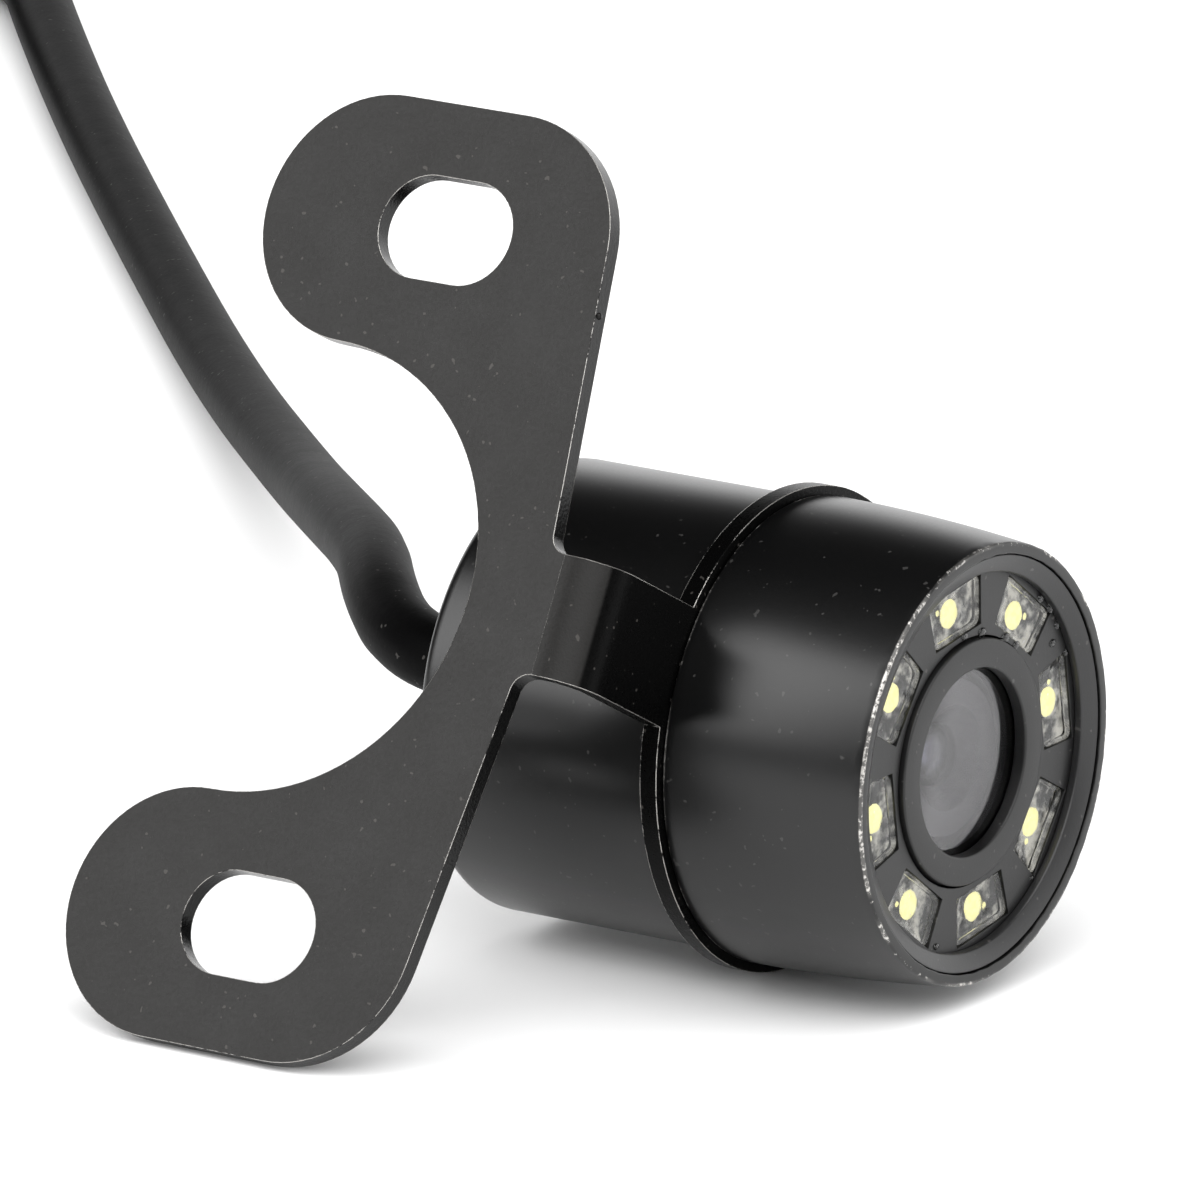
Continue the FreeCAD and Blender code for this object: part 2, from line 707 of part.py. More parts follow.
def lead_in():
    """Where the lead comes in: gland, potting, the lead's end and its four wires."""
    turned("strain_relief", [
        ("cable_radius", "-rear_length - boot_length"), ("boot_tip_radius", "-rear_length - boot_length"),
        ("boot_radius", "-rear_length"), ("gland_throat", "-rear_length"),
        ("gland_throat", INSIDE_REAR), ("gland_flange_radius", INSIDE_REAR),
        ("gland_flange_radius", INSIDE_REAR + " + gland_flange_thick"),
        ("cable_radius", INSIDE_REAR + " + gland_flange_thick")], HEAD)
    step = INSIDE_REAR + " + gland_flange_thick"
    turned("potting", [
        ("gland_flange_radius", INSIDE_REAR), (REAR_BORE, INSIDE_REAR),
        (REAR_BORE, INSIDE_REAR + " + potting_length"), ("potting_bore", INSIDE_REAR + " + potting_length"),
        ("potting_bore", step), ("gland_flange_radius", step)], HEAD)
    rear_tip = "-rear_length - boot_length"
    padded("lead_end", lambda sketch: circle(sketch, "cable_radius"), rear_tip,
           LEAD_END + " - (%s)" % rear_tip, HEAD)
    padded("lead_wires",
           lambda sketch: ring_of_circles(sketch, "wires", "wire_circle", "wire_radius", 0.0),
           LEAD_END, "wire_length", HEAD)


# ---- lead ----

def cord_path(points):
    """Straight runs joined by tangent arcs, each as large as its two runs allow, and the arcs' radii."""
    edges, radii, last = [], [], points[0]
    for before, corner, after in zip(points, points[1:], points[2:]):
        back, on = (before - corner), (after - corner)
        shorter = min(back.Length, on.Length)
        back.normalize()
        on.normalize()
        half_turn = (math.pi - back.getAngle(on)) / 2
        setback = ARC_SHARE * shorter
        radius = setback / math.tan(half_turn)
        bisector = back + on
        bisector.normalize()
        start, end = corner + back * setback, corner + on * setback
        middle = corner + bisector * (math.hypot(radius, setback) - radius)
        edges.append(Part.LineSegment(last, start).toShape())
        edges.append(Part.Arc(start, middle, end).toShape())
        radii.append(round(radius, 1))
        last = end
    edges.append(Part.LineSegment(last, points[-1]).toShape())
    return Part.Wire(edges), radii


def cord(label, points):
    """The lead's tube along a route."""
    path, radii = cord_path(points)
    first = points[1] - points[0]
    rim = Part.Wire(Part.Circle(points[0], first, size("cable_radius")).toShape())
    tube = doc.addObject("Part::Feature", label + "_tube")
    tube.Shape = path.makePipeShell([rim], True, False)
    section = math.pi * size("cable_radius") ** 2
    print(label, "length", round(path.Length, 1), "mm, radii", radii,
          "volume over section times length", round(tube.Shape.Volume / section / path.Length, 4))
    keep(tube, label, Placement())
    return path.Length


def coil_frame():
    """The coil's placement: flat on its tie's lower strand."""
    return Placement(Vector(COIL_CENTRE[0], COIL_CENTRE[1], size("tie_thick")), Rotation())


def coil():
    """The outer shape of the wound lead, a square ring with rounded edges."""
    half_width, high = "(coil_columns * cable_radius)", "(2 * coil_layers * cable_radius)"
    inside, outside = "coil_radius - " + half_width, "coil_radius + " + half_width
    rounded = "coil_edge_round"
    turned("cable_coil", [
        (inside + " + " + rounded, "0"), (outside + " - " + rounded, "0", rounded, 1),
        (outside, rounded), (outside, high + " - " + rounded, rounded, 1),
        (outside + " - " + rounded, high), (inside + " + " + rounded, high, rounded, 1),
        (inside, high + " - " + rounded), (inside, rounded, rounded, 1)], coil_frame())


def coil_tie():
    """Strap round the coil's section."""
    body = new_body("cable_tie")
    sketch = drawing_on(body, "tie_section", "length")
    width, high = "2 * coil_columns * cable_radius", "2 * coil_layers * cable_radius"
    box_outline(sketch, width + " + 2 * tie_thick", high + " + 2 * tie_thick", "coil_radius", high + " / 2")
    box_outline(sketch, width, high, "coil_radius", high + " / 2")
    pull(body, sketch, "tie_width", both=True)
    keep(body, "cable_tie", coil_frame() * Placement(Vector(), Rotation(Z, size("tie_angle"))))


def plug_frame():
    """The plug's placement: its axis carries on from the tail's last run, level, with its collar on the floor."""
    start, end = (Vector(*point) for point in TAIL_POINTS[-2:])
    heading = end - start
    heading.z = 0
    return Placement(Vector(end.x, end.y, size("plug_collar_radius")), Rotation(Z, heading))


def plug():
    """Moulded four-pin plug with a locking collar, at the end of the lead."""
    there = plug_frame()
    boot, front = "plug_boot_length", "(plug_boot_length + plug_body_length)"
    turned("plug_boot", [
        ("0", "0"), ("plug_boot_tip_radius", "0"), ("plug_boot_radius", boot), ("0", boot)], there)
    step = front + " - plug_collar_length + plug_collar_overhang"
    turned("plug_body", [
        ("0", boot), ("plug_body_radius + plug_collar_lip", boot), ("plug_body_radius + plug_collar_lip", step),
        ("plug_body_radius", step), ("plug_body_radius", front), ("plug_socket_radius", front),
        ("plug_socket_radius", front + " - plug_socket_depth"), ("0", front + " - plug_socket_depth")], there)
    inner = "plug_body_radius + plug_collar_gap"
    turned("plug_collar", [
        (inner, step), ("plug_collar_radius", step), ("plug_collar_radius", step + " + plug_collar_length"),
        (inner, step + " + plug_collar_length")], there)
    base = front + " - plug_socket_depth"
    padded("plug_insert", lambda sketch: circle(sketch, "plug_socket_radius"), base, "plug_insert_length",
           there)
    padded("plug_pins", lambda sketch: ring_of_circles(sketch, "pins", "pin_circle", "pin_radius", 0.0),
           base + " + plug_insert_length", "pin_length", there)


def lead():
    """The lead from the gland to the coil, the coil, and its tail with the plug."""
    exit_point = STANCE.multVec(Vector(0, 0, -size("rear_length + boot_length + running_gap")))
    points = [exit_point, exit_point - X * size("exit_run")] + [Vector(*point) for point in LEAD_POINTS]
    run = cord("cable_tube", points)
    coil()
    coil_tie()
    run += cord("cable_tail", [Vector(*point) for point in TAIL_POINTS])
    plug()
    ends = [math.atan2(point[1] - COIL_CENTRE[1], point[0] - COIL_CENTRE[0])
            for point in (LEAD_POINTS[-1], TAIL_POINTS[0])]
    part_turn = (ends[1] - ends[0]) % (2 * math.pi)
    whole_turns = size("coil_columns * coil_layers") - 1
    wound = (whole_turns * 2 * math.pi + part_turn) * size("coil_radius")
    print("lead length outside the camera", round(run + wound, 1), "mm, of it wound", round(wound, 1))


bracket()
rear_housing()
front_shell()
shell_seal()
bezel_ring()
face_plate()
light_board()
lights()
lens_front()
lens_barrel()
lens_glass()
lens_holder()
holder_screws()
electronics()
lead_in()
lead()
doc.recompute()

failed = [thing.Name for thing in doc.Objects if {"Invalid", "Error"} & set(thing.State)]
assert not failed, failed
for thing in subparts:
    shape = thing.Shape
    assert not shape.isNull() and shape.isValid(), thing.Label
    assert shape.Volume > 0, thing.Label

os.makedirs("parts", exist_ok=True)
for thing in subparts:
    thing.Shape.exportStep(os.path.join("parts", thing.Label + ".step"))
print(len(subparts), "sub-parts written")
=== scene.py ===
"""Small reversing camera with eight lights in a two-ear bracket, with its lead coiled."""

import json
import math

import bmesh
import bpy
import numpy as np
from bpy.props import FloatProperty, FloatVectorProperty, IntProperty, PointerProperty
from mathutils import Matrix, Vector


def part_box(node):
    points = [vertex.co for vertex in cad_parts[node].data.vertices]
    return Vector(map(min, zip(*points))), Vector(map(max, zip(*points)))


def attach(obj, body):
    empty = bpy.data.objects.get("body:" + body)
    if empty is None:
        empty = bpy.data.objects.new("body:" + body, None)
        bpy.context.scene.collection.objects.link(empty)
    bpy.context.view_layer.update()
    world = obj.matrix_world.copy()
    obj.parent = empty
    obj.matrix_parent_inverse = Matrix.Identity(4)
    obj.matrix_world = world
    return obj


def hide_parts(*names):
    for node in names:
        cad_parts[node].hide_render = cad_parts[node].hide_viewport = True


bl_info = {
    "name": "Reversing Camera Builder",
    "version": (1, 0, 0),
    "blender": (4, 5, 0),
    "location": "3D View > Sidebar > Camera",
    "description": "Builds a small reversing camera, its bracket and its lead",
    "category": "Add Mesh",
}

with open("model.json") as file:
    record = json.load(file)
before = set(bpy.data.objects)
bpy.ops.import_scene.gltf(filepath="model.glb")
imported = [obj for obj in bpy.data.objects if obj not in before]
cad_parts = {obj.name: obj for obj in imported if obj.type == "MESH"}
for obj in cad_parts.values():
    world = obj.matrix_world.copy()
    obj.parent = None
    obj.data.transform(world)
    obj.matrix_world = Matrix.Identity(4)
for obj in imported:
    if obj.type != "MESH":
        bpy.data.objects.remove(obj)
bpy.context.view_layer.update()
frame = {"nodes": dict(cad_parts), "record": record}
MM = 0.001
TAU = 2 * math.pi
ROUND = 192


# ---- places, read from the frame ----

def box_of(node):
    low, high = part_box(node)
    return np.array(low, dtype=float), np.array(high, dtype=float)


def mount(name):
    """One of the record's mounts."""
    return next(entry for entry in frame["record"]["mounts"] if entry["name"] == name)


HOUSING_LOW, HOUSING_HIGH = box_of("rear_housing")
SHELL_LOW, SHELL_HIGH = box_of("front_shell")
AXIS_Y, AXIS_Z = (HOUSING_LOW[1:] + HOUSING_HIGH[1:]) / 2
FRONT = SHELL_HIGH[0]
FACE = box_of("led_face_plate")[1][0]
RING_GAP = 0.05 * MM
SHEET = 1.0 * MM
SHEET_REAR = SHELL_LOW[0] - RING_GAP - SHEET
OUTWARD = np.array(mount("plate_face")["axis"], dtype=float)
UPWARD = np.array([0.0, OUTWARD[2], -OUTWARD[1]])
PLATE = float(np.dot(np.array(mount("plate_face")["pos_m"]) - [0, AXIS_Y, AXIS_Z], OUTWARD))


def radius_of(node):
    """Half of a round node's height."""
    low, high = box_of(node)
    return (high[2] - low[2]) / 2


RIM_RADIUS = radius_of("front_shell") - 0.7 * MM


def light_angle(node):
    """The angle of a light round the barrel, from +Y towards +Z."""
    low, high = box_of(node)
    middle = (low + high) / 2
    return math.atan2(middle[2] - AXIS_Z, middle[1] - AXIS_Y)


# ---- what a user may change ----

class CameraLooks(bpy.types.PropertyGroup):
    """Colours and fine sizes of the camera and its bracket."""

    metal: FloatVectorProperty(
        name="Barrel", description="Colour of the barrel's black finish",
        subtype="COLOR", size=3, min=0, max=1, default=(0.0018, 0.0018, 0.0019))
    paint: FloatVectorProperty(
        name="Bracket paint", description="Colour of the bracket's matte paint",
        subtype="COLOR", size=3, min=0, max=1, default=(0.0062, 0.0056, 0.005))
    steel: FloatVectorProperty(
        name="Worn steel", description="Colour of bare metal on worn edges",
        subtype="COLOR", size=3, min=0, max=1, default=(0.62, 0.6, 0.57))
    phosphor: FloatVectorProperty(
        name="Light", description="Colour of the lights' phosphor",
        subtype="COLOR", size=3, min=0, max=1, default=(0.98, 0.96, 0.5))
    edge: FloatProperty(
        name="Edge rounding", description="Rounding of the barrel's machined edges",
        unit="LENGTH", min=0, default=0.12 * MM)
    light: FloatProperty(
        name="Light spot", description="Radius of each light's phosphor",
        unit="LENGTH", min=0, default=0.77 * MM)


class LeadLooks(bpy.types.PropertyGroup):
    """Sizes and colour of the lead."""

    jacket: FloatVectorProperty(
        name="Jacket", description="Colour of the lead's jacket",
        subtype="COLOR", size=3, min=0, max=1, default=(0.0013, 0.0013, 0.0014))
    diameter: FloatProperty(
        name="Diameter", description="Diameter of the lead",
        unit="LENGTH", min=0, default=4.0 * MM)
    turn_points: IntProperty(
        name="Points per turn", description="Control points in each turn of the coil", min=12,
        default=16)


def looks():
    return bpy.context.scene.camera_looks


# ---- surfaces ----

def finish_mesh(name, points, faces, body, replaces=(), smooth=True, slot=None):
    """Makes an object from an array of points and of faces, and lets it ride on a body."""
    mesh = bpy.data.meshes.new(name)
    mesh.from_pydata(points.tolist(), [], [tuple(face) for face in faces])
    mesh.polygons.foreach_set("use_smooth", [smooth] * len(mesh.polygons))
    mesh.update()
    piece = bpy.data.objects.new(name, mesh)
    bpy.context.scene.collection.objects.link(piece)
    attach(piece, body)
    if replaces:
        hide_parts(*replaces)
    return piece


def grid_faces(rows, columns, wrap_rows, wrap_columns):
    """Quads of a grid of points, closed round either way."""
    i = np.arange(rows if wrap_rows else rows - 1)[:, None]
    j = np.arange(columns if wrap_columns else columns - 1)[None, :]
    i2, j2 = (i + 1) % rows, (j + 1) % columns
    return np.stack([a.ravel() for a in (i * columns + j, i * columns + j2, i2 * columns + j2,
                                         i2 * columns + j)], axis=1)


def softened(corners, radius, steps=5):
    """Rounds every corner of a closed outline: each becomes a curve between points radius away from it,
    (1 - t)^2 before + 2 t (1 - t) corner + t^2 after."""
    corner = np.array(corners, dtype=float)
    reach = np.broadcast_to(np.array(radius, dtype=float), (len(corner),))[:, None]
    before, after = np.roll(corner, 1, axis=0) - corner, np.roll(corner, -1, axis=0) - corner
    lengths = [np.linalg.norm(run, axis=1, keepdims=True) for run in (before, after)]
    start = corner + before / lengths[0] * np.minimum(reach, 0.45 * lengths[0])
    end = corner + after / lengths[1] * np.minimum(reach, 0.45 * lengths[1])
    t = np.linspace(0, 1, steps)[None, :, None]
    return ((1 - t) ** 2 * start[:, None] + 2 * t * (1 - t) * corner[:, None]
            + t ** 2 * end[:, None]).reshape(-1, 2)


def turned(name, outline, body, origin=None, along=(1, 0, 0), wobble=None, **kept):
    """A closed outline (place along the axis, radius) turned through a full circle about an axis:
    point = origin + along * place + radius * (cos a * u + sin a * v). The outline runs so that faces
    point outwards. wobble(place, radius, angle) may move the radius."""
    along = np.array(along, dtype=float) / np.linalg.norm(along)
    u = np.cross(along, [0, 0, 1.0])
    u = u / np.linalg.norm(u)
    v = np.cross(along, u)
    origin = np.array([0, AXIS_Y, AXIS_Z] if origin is None else origin, dtype=float)
    place, radius = np.array(outline)[:, 0][:, None], np.array(outline)[:, 1][:, None]
    angle = np.linspace(0, TAU, ROUND, endpoint=False)[None, :]
    if wobble is not None:
        radius = radius + wobble(place, radius, angle)
    radius = np.broadcast_to(radius, (len(outline), ROUND))[..., None]
    points = (origin + place[..., None] * along
              + radius * (np.cos(angle)[..., None] * u + np.sin(angle)[..., None] * v))
    faces = grid_faces(len(outline), ROUND, True, True)
    piece = finish_mesh(name, points.reshape(-1, 3), faces, body, **kept)
    tidy_poles(piece)
    return piece


def tidy_poles(piece):
    """Closes the poles and turns the faces outwards."""
    work = bmesh.new()
    work.from_mesh(piece.data)
    bmesh.ops.remove_doubles(work, verts=work.verts, dist=1e-7)
    bmesh.ops.dissolve_degenerate(work, edges=work.edges, dist=1e-8)
    bmesh.ops.recalc_face_normals(work, faces=work.faces)
    work.to_mesh(piece.data)
    work.free()


def ellipsoids(name, centres, sizes, body, rows=9, columns=14, **kept):
    """Closed blobs in one mesh: point = centre + size * (sin p cos q, sin p sin q, cos p)."""
    p = np.linspace(0, math.pi, rows)[:, None]
    q = np.linspace(0, TAU, columns, endpoint=False)[None, :]
    unit = np.stack([np.sin(p) * np.cos(q), np.sin(p) * np.sin(q), np.cos(p) * np.ones_like(q)], axis=-1)
    centres, sizes = np.array(centres)[:, None, None, :], np.array(sizes)[:, None, None, :]
    points = (centres + unit[None] * sizes).reshape(-1, 3)
    one = grid_faces(rows, columns, False, True)
    faces = (np.arange(len(centres))[:, None, None] * rows * columns + one[None]).reshape(-1, 4)
    piece = finish_mesh(name, points, faces, body, **kept)
    tidy_poles(piece)
    return piece


# ---- effects that several materials share ----

def new_group(name, inputs, outputs):
    """A shader node group. inputs are (name, value), outputs are (name, socket type)."""
    group = bpy.data.node_groups.new(name, "ShaderNodeTree")
    for label, value in inputs:
        socket = group.interface.new_socket(name=label, in_out="INPUT", socket_type="NodeSocketFloat")
        socket.default_value = value
    for label, kind in outputs:
        group.interface.new_socket(name=label, in_out="OUTPUT", socket_type=kind)
    ends = group.nodes.new("NodeGroupInput"), group.nodes.new("NodeGroupOutput")
    return group, ends[0].outputs, ends[1].inputs


def add(tree, kind, links=(), **settings):
    """A node with its settings. links are (socket, what goes in): an output or a plain value."""
    node = tree.nodes.new("ShaderNode" + kind)
    for key, value in settings.items():
        setattr(node, key, value)
    for socket, source in links:
        if isinstance(source, bpy.types.NodeSocket):
            tree.links.new(source, node.inputs[socket])
        else:
            node.inputs[socket].default_value = source
    return node


def maths(tree, operation, *values, clamp=False):
    """The result of a Math node."""
    return add(tree, "Math", list(enumerate(values)), operation=operation, use_clamp=clamp).outputs[0]


def dot_product(tree, first, second):
    return add(tree, "VectorMath", [(0, first), (1, second)], operation="DOT_PRODUCT").outputs["Value"]


def ramp(tree, value, low, high):
    """0 below low, 1 above high, and smooth between."""
    node = add(tree, "MapRange", [("Value", value), ("From Min", low), ("From Max", high)],
               interpolation_type="SMOOTHSTEP")
    return node.outputs[0]


def noise(tree, scale, detail=3.0, rough=0.6, vector=None):
    where = vector or add(tree, "TexCoord").outputs["Object"]
    return add(tree, "TexNoise", [("Vector", where), ("Scale", scale), ("Detail", detail),
                                  ("Roughness", rough)]).outputs["Fac"]


def weighted(tree, first, first_share, second, second_share):
    """The sum of two values, each times its share."""
    return maths(tree, "ADD", maths(tree, "MULTIPLY", first, first_share),
                 maths(tree, "MULTIPLY", second, second_share))


def edge_wear_group():
    """Wear along sharp edges: how far the rounded normal leaves the flat one, broken up by noise.
    Gives the mask and the rounded normal."""
    group, given, out = new_group("edge_wear", [("Radius", 0.0001), ("Amount", 0.5), ("Grain", 4000.0)],
                                  [("Mask", "NodeSocketFloat"), ("Normal", "NodeSocketVector")])
    bevel = add(group, "Bevel", [("Radius", given["Radius"])], samples=6)
    flat = add(group, "NewGeometry").outputs["Normal"]
    turn = maths(group, "SUBTRACT", 1.0, dot_product(group, bevel.outputs[0], flat))
    patch = noise(group, given["Grain"], 4.0, 0.7)
    wide = noise(group, 260.0, 2.0, 0.5)
    broken = maths(group, "MULTIPLY", maths(group, "ADD", patch, wide), 0.5)
    limit = maths(group, "SUBTRACT", 1.02, given["Amount"])
    chance = ramp(group, broken, maths(group, "SUBTRACT", limit, 0.06), maths(group, "ADD", limit, 0.02))
    edge = ramp(group, turn, 0.03, 0.12)
    group.links.new(maths(group, "MULTIPLY", edge, chance), out["Mask"])
    group.links.new(bevel.outputs[0], out["Normal"])
    return group


def grain_group():
    """Fine speckle of a sprayed or blasted finish. Gives a height, a value round zero and dust specks."""
    group, given, out = new_group("finish_grain", [("Scale", 9000.0), ("Spread", 0.1)],
                                  [("Height", "NodeSocketFloat"), ("Value", "NodeSocketFloat"),
                                   ("Specks", "NodeSocketFloat")])
    fine = noise(group, given["Scale"], 3.0, 0.65)
    cloud = noise(group, 240.0, 3.0, 0.6)
    mixed = weighted(group, fine, 0.65, cloud, 0.35)
    centred = maths(group, "MULTIPLY", maths(group, "SUBTRACT", mixed, 0.5), given["Spread"])
    specks = ramp(group, noise(group, 2600.0, 1.0, 0.4), 0.735, 0.76)
    group.links.new(fine, out["Height"])
    group.links.new(centred, out["Value"])
    group.links.new(specks, out["Specks"])
    return group


def effect(tree, name, **values):
    """An instance of a shared effect in a material."""
    node = tree.nodes.new("ShaderNodeGroup")
    node.node_tree = bpy.data.node_groups[name]
    for key, value in values.items():
        node.inputs[key].default_value = value
    return node.outputs


def new_material(name, color, roughness, metallic=0.0, **sockets):
    """A material with its Principled shader. Returns the material, its tree and the shader."""
    material = bpy.data.materials.new(name)
    material.use_nodes = True
    shader = material.node_tree.nodes["Principled BSDF"]
    shader.inputs["Base Color"].default_value = (*color, 1)
    shader.inputs["Roughness"].default_value = roughness
    shader.inputs["Metallic"].default_value = metallic
    for key, value in sockets.items():
        shader.inputs[key.replace("_", " ")].default_value = value
    return material, material.node_tree, shader


def blend_color(tree, mask, under, over):
    """under where the mask is 0, over where it is 1. Each is a colour or an output."""
    node = add(tree, "Mix", [(0, mask)], data_type="RGBA")
    for socket, source in ((6, under), (7, over)):
        if isinstance(source, bpy.types.NodeSocket):
            tree.links.new(source, node.inputs[socket])
        else:
            node.inputs[socket].default_value = (*source, 1)
    return node.outputs[2]


def blend_value(tree, mask, under, over):
    return add(tree, "Mix", [(0, mask), (2, under), (3, over)]).outputs[0]


def bumped(tree, height, strength, distance, normal=None):
    links = [("Height", height), ("Strength", strength), ("Distance", distance)]
    if normal is not None:
        links.append(("Normal", normal))
    return add(tree, "Bump", links).outputs[0]


# ---- materials ----

def worn_finish(name, color, roughness, wear, grain, spread, bump, bare, radius, **sockets):
    """A dark finish with speckle, specks of dust and bright metal along its worn edges."""
    material, tree, shader = new_material(name, color, roughness, **sockets)
    edge = effect(tree, "edge_wear", Radius=radius, Amount=wear)
    speckle = effect(tree, "finish_grain", Scale=grain, Spread=spread)
    pale = maths(tree, "MULTIPLY", speckle["Specks"], 0.35)
    base = blend_color(tree, pale, color, (0.12, 0.115, 0.11))
    tree.links.new(blend_color(tree, edge["Mask"], base, bare), shader.inputs["Base Color"])
    rough = maths(tree, "ADD", speckle["Value"], roughness, clamp=True)
    tree.links.new(blend_value(tree, edge["Mask"], rough, 0.32), shader.inputs["Roughness"])
    tree.links.new(maths(tree, "MULTIPLY", edge["Mask"], 0.9), shader.inputs["Metallic"])
    normal = bumped(tree, speckle["Height"], bump, 0.02 * MM, edge["Normal"])
    tree.links.new(normal, shader.inputs["Normal"])
    return material


def barrel_metal():
    """Satin black anodised metal. The shell's front rim and rear edge are worn down to bright metal in
    specks and short lines, most at the front. Other sharp edges wear a little."""
    material, tree, shader = new_material("barrel_metal", looks().metal, 0.3)
    where = add(tree, "TexCoord").outputs["Object"]
    place = add(tree, "SeparateXYZ", [(0, where)]).outputs
    across = maths(tree, "SUBTRACT", place["Y"], AXIS_Y)
    height = maths(tree, "SUBTRACT", place["Z"], AXIS_Z)
    radius = maths(tree, "SQRT", maths(tree, "ADD", maths(tree, "MULTIPLY", across, across),
                                       maths(tree, "MULTIPLY", height, height)))
    rim = maths(tree, "MULTIPLY", ramp(tree, place["X"], FRONT - 0.17 * MM, FRONT - 0.08 * MM),
                ramp(tree, radius, RIM_RADIUS - 0.22 * MM, RIM_RADIUS - 0.1 * MM))
    from_rear = maths(tree, "SUBTRACT", place["X"], SHELL_LOW[0] + 0.05 * MM)
    rear = ramp(tree, maths(tree, "ABSOLUTE", from_rear), 0.11 * MM, 0.03 * MM)
    dents = noise(tree, 3600.0, 3.0, 0.7)
    patches = noise(tree, 300.0, 2.0, 0.5)
    broken = weighted(tree, dents, 0.62, patches, 0.38)
    worn = maths(tree, "MULTIPLY", maths(tree, "MAXIMUM", rim, maths(tree, "MULTIPLY", rear, 0.7)),
                 weighted(tree, ramp(tree, broken, 0.52, 0.6), 0.85, ramp(tree, patches, 0.4, 0.6), 0.15))
    edge = effect(tree, "edge_wear", Radius=0.05 * MM, Amount=0.5)
    worn = maths(tree, "MAXIMUM", worn, edge["Mask"])
    speckle = effect(tree, "finish_grain", Scale=7000.0, Spread=0.12)
    base = blend_color(tree, maths(tree, "MULTIPLY", speckle["Specks"], 0.3), tuple(looks().metal),
                       (0.09, 0.088, 0.085))
    tree.links.new(blend_color(tree, worn, base, looks().steel), shader.inputs["Base Color"])
    rough = maths(tree, "ADD", speckle["Value"], 0.3, clamp=True)
    tree.links.new(blend_value(tree, worn, rough, 0.38), shader.inputs["Roughness"])
    tree.links.new(maths(tree, "MULTIPLY", worn, 0.85), shader.inputs["Metallic"])
    chips = maths(tree, "SUBTRACT", maths(tree, "MULTIPLY", speckle["Height"], 0.12),
                  maths(tree, "MULTIPLY", worn, 1.0))
    tree.links.new(bumped(tree, chips, 0.55, 0.02 * MM, edge["Normal"]), shader.inputs["Normal"])
    return material


def bracket_paint():
    """Matte paint on the plate, glossier paint on the tab and ring, darkened there to near black as painted
    shade, and a glossy cut edge with a bright line where the paint wore off."""
    color = looks().paint
    material, tree, shader = new_material("bracket_paint", color, 0.42, Specular_IOR_Level=0.27)
    where = add(tree, "TexCoord").outputs["Object"]
    out = maths(tree, "SUBTRACT", dot_product(tree, where, tuple(OUTWARD)),
                float(np.dot([0, AXIS_Y, AXIS_Z], OUTWARD)))
    flat = add(tree, "NewGeometry").outputs["Normal"]
    facing = dot_product(tree, flat, tuple(OUTWARD))
    on_plate = ramp(tree, out, PLATE - 1.3 * MM, PLATE - 1.1 * MM)
    cut = maths(tree, "MULTIPLY", on_plate, ramp(tree, maths(tree, "ABSOLUTE", facing), 0.6, 0.4))
    edge = effect(tree, "edge_wear", Radius=0.08 * MM, Amount=0.55, Grain=2600.0)
    speckle = effect(tree, "finish_grain", Scale=5200.0, Spread=0.35)
    tint = maths(tree, "ADD", maths(tree, "MULTIPLY", speckle["Value"], 3.2), 1.0)
    varied = add(tree, "Mix", [(0, 1.0), (6, (*color, 1)), (7, tint)], data_type="RGBA",
                 blend_type="MULTIPLY").outputs[2]
    dust = maths(tree, "MULTIPLY", speckle["Specks"], 0.5)
    # Painted shade: off the plate, on the tab and ring, the paint's colour is darkened to near black.
    base = blend_color(tree, on_plate, (0.0012, 0.0012, 0.0012), varied)
    base = blend_color(tree, dust, base, (0.07, 0.065, 0.06))
    base = blend_color(tree, cut, base, (0.002, 0.002, 0.002))
    tree.links.new(blend_color(tree, edge["Mask"], base, looks().steel), shader.inputs["Base Color"])
    level = blend_value(tree, on_plate, 0.3, 0.42)
    tree.links.new(blend_value(tree, on_plate, 0.07, 0.27), shader.inputs["Specular IOR Level"])
    rough = blend_value(tree, cut, maths(tree, "ADD", speckle["Value"], level, clamp=True), 0.2)
    tree.links.new(blend_value(tree, edge["Mask"], rough, 0.3), shader.inputs["Roughness"])
    tree.links.new(maths(tree, "MULTIPLY", edge["Mask"], 0.85), shader.inputs["Metallic"])
    normal = bumped(tree, speckle["Height"], 0.5, 0.03 * MM, edge["Normal"])
    tree.links.new(normal, shader.inputs["Normal"])
    return material


def face_plastic(name, shade, roughness, wear):
    """Matte black moulded plastic of the face, with dull wear on its edges."""
    return worn_finish(name, (shade, shade, 1.03 * shade), roughness, wear, 8000.0, 0.15, 0.3,
                       (0.13, 0.13, 0.13), 0.06 * MM)


def cable_jacket():
    """Dull jacket with a faint long ripple."""
    material, tree, shader = new_material("cable_jacket", looks_lead().jacket, 0.5, Specular_IOR_Level=0.03)
    speckle = effect(tree, "finish_grain", Scale=4200.0, Spread=0.16)
    rough = maths(tree, "ADD", speckle["Value"], 0.5, clamp=True)
    tree.links.new(rough, shader.inputs["Roughness"])
    ripple = weighted(tree, speckle["Height"], 0.25, noise(tree, 420.0, 2.0), 1.0)
    tree.links.new(bumped(tree, ripple, 0.22, 0.12 * MM), shader.inputs["Normal"])
    dust = maths(tree, "MULTIPLY", speckle["Specks"], 0.4)
    base = blend_color(tree, dust, tuple(looks_lead().jacket), (0.11, 0.105, 0.1))
    tree.links.new(base, shader.inputs["Base Color"])
    return material


def clear_resin():
    """Clear potting in the lights' windows, with a slightly uneven top."""
    material, tree, shader = new_material("clear_resin", (0.98, 0.98, 0.97), 0.06,
                                          Transmission_Weight=1.0, IOR=1.5)
    tree.links.new(bumped(tree, noise(tree, 900.0, 2.0, 0.5), 0.35, 0.25 * MM), shader.inputs["Normal"])
    tree.links.new(ramp(tree, noise(tree, 1500.0, 2.0), 0.2, 1.6), shader.inputs["Roughness"])
    return material


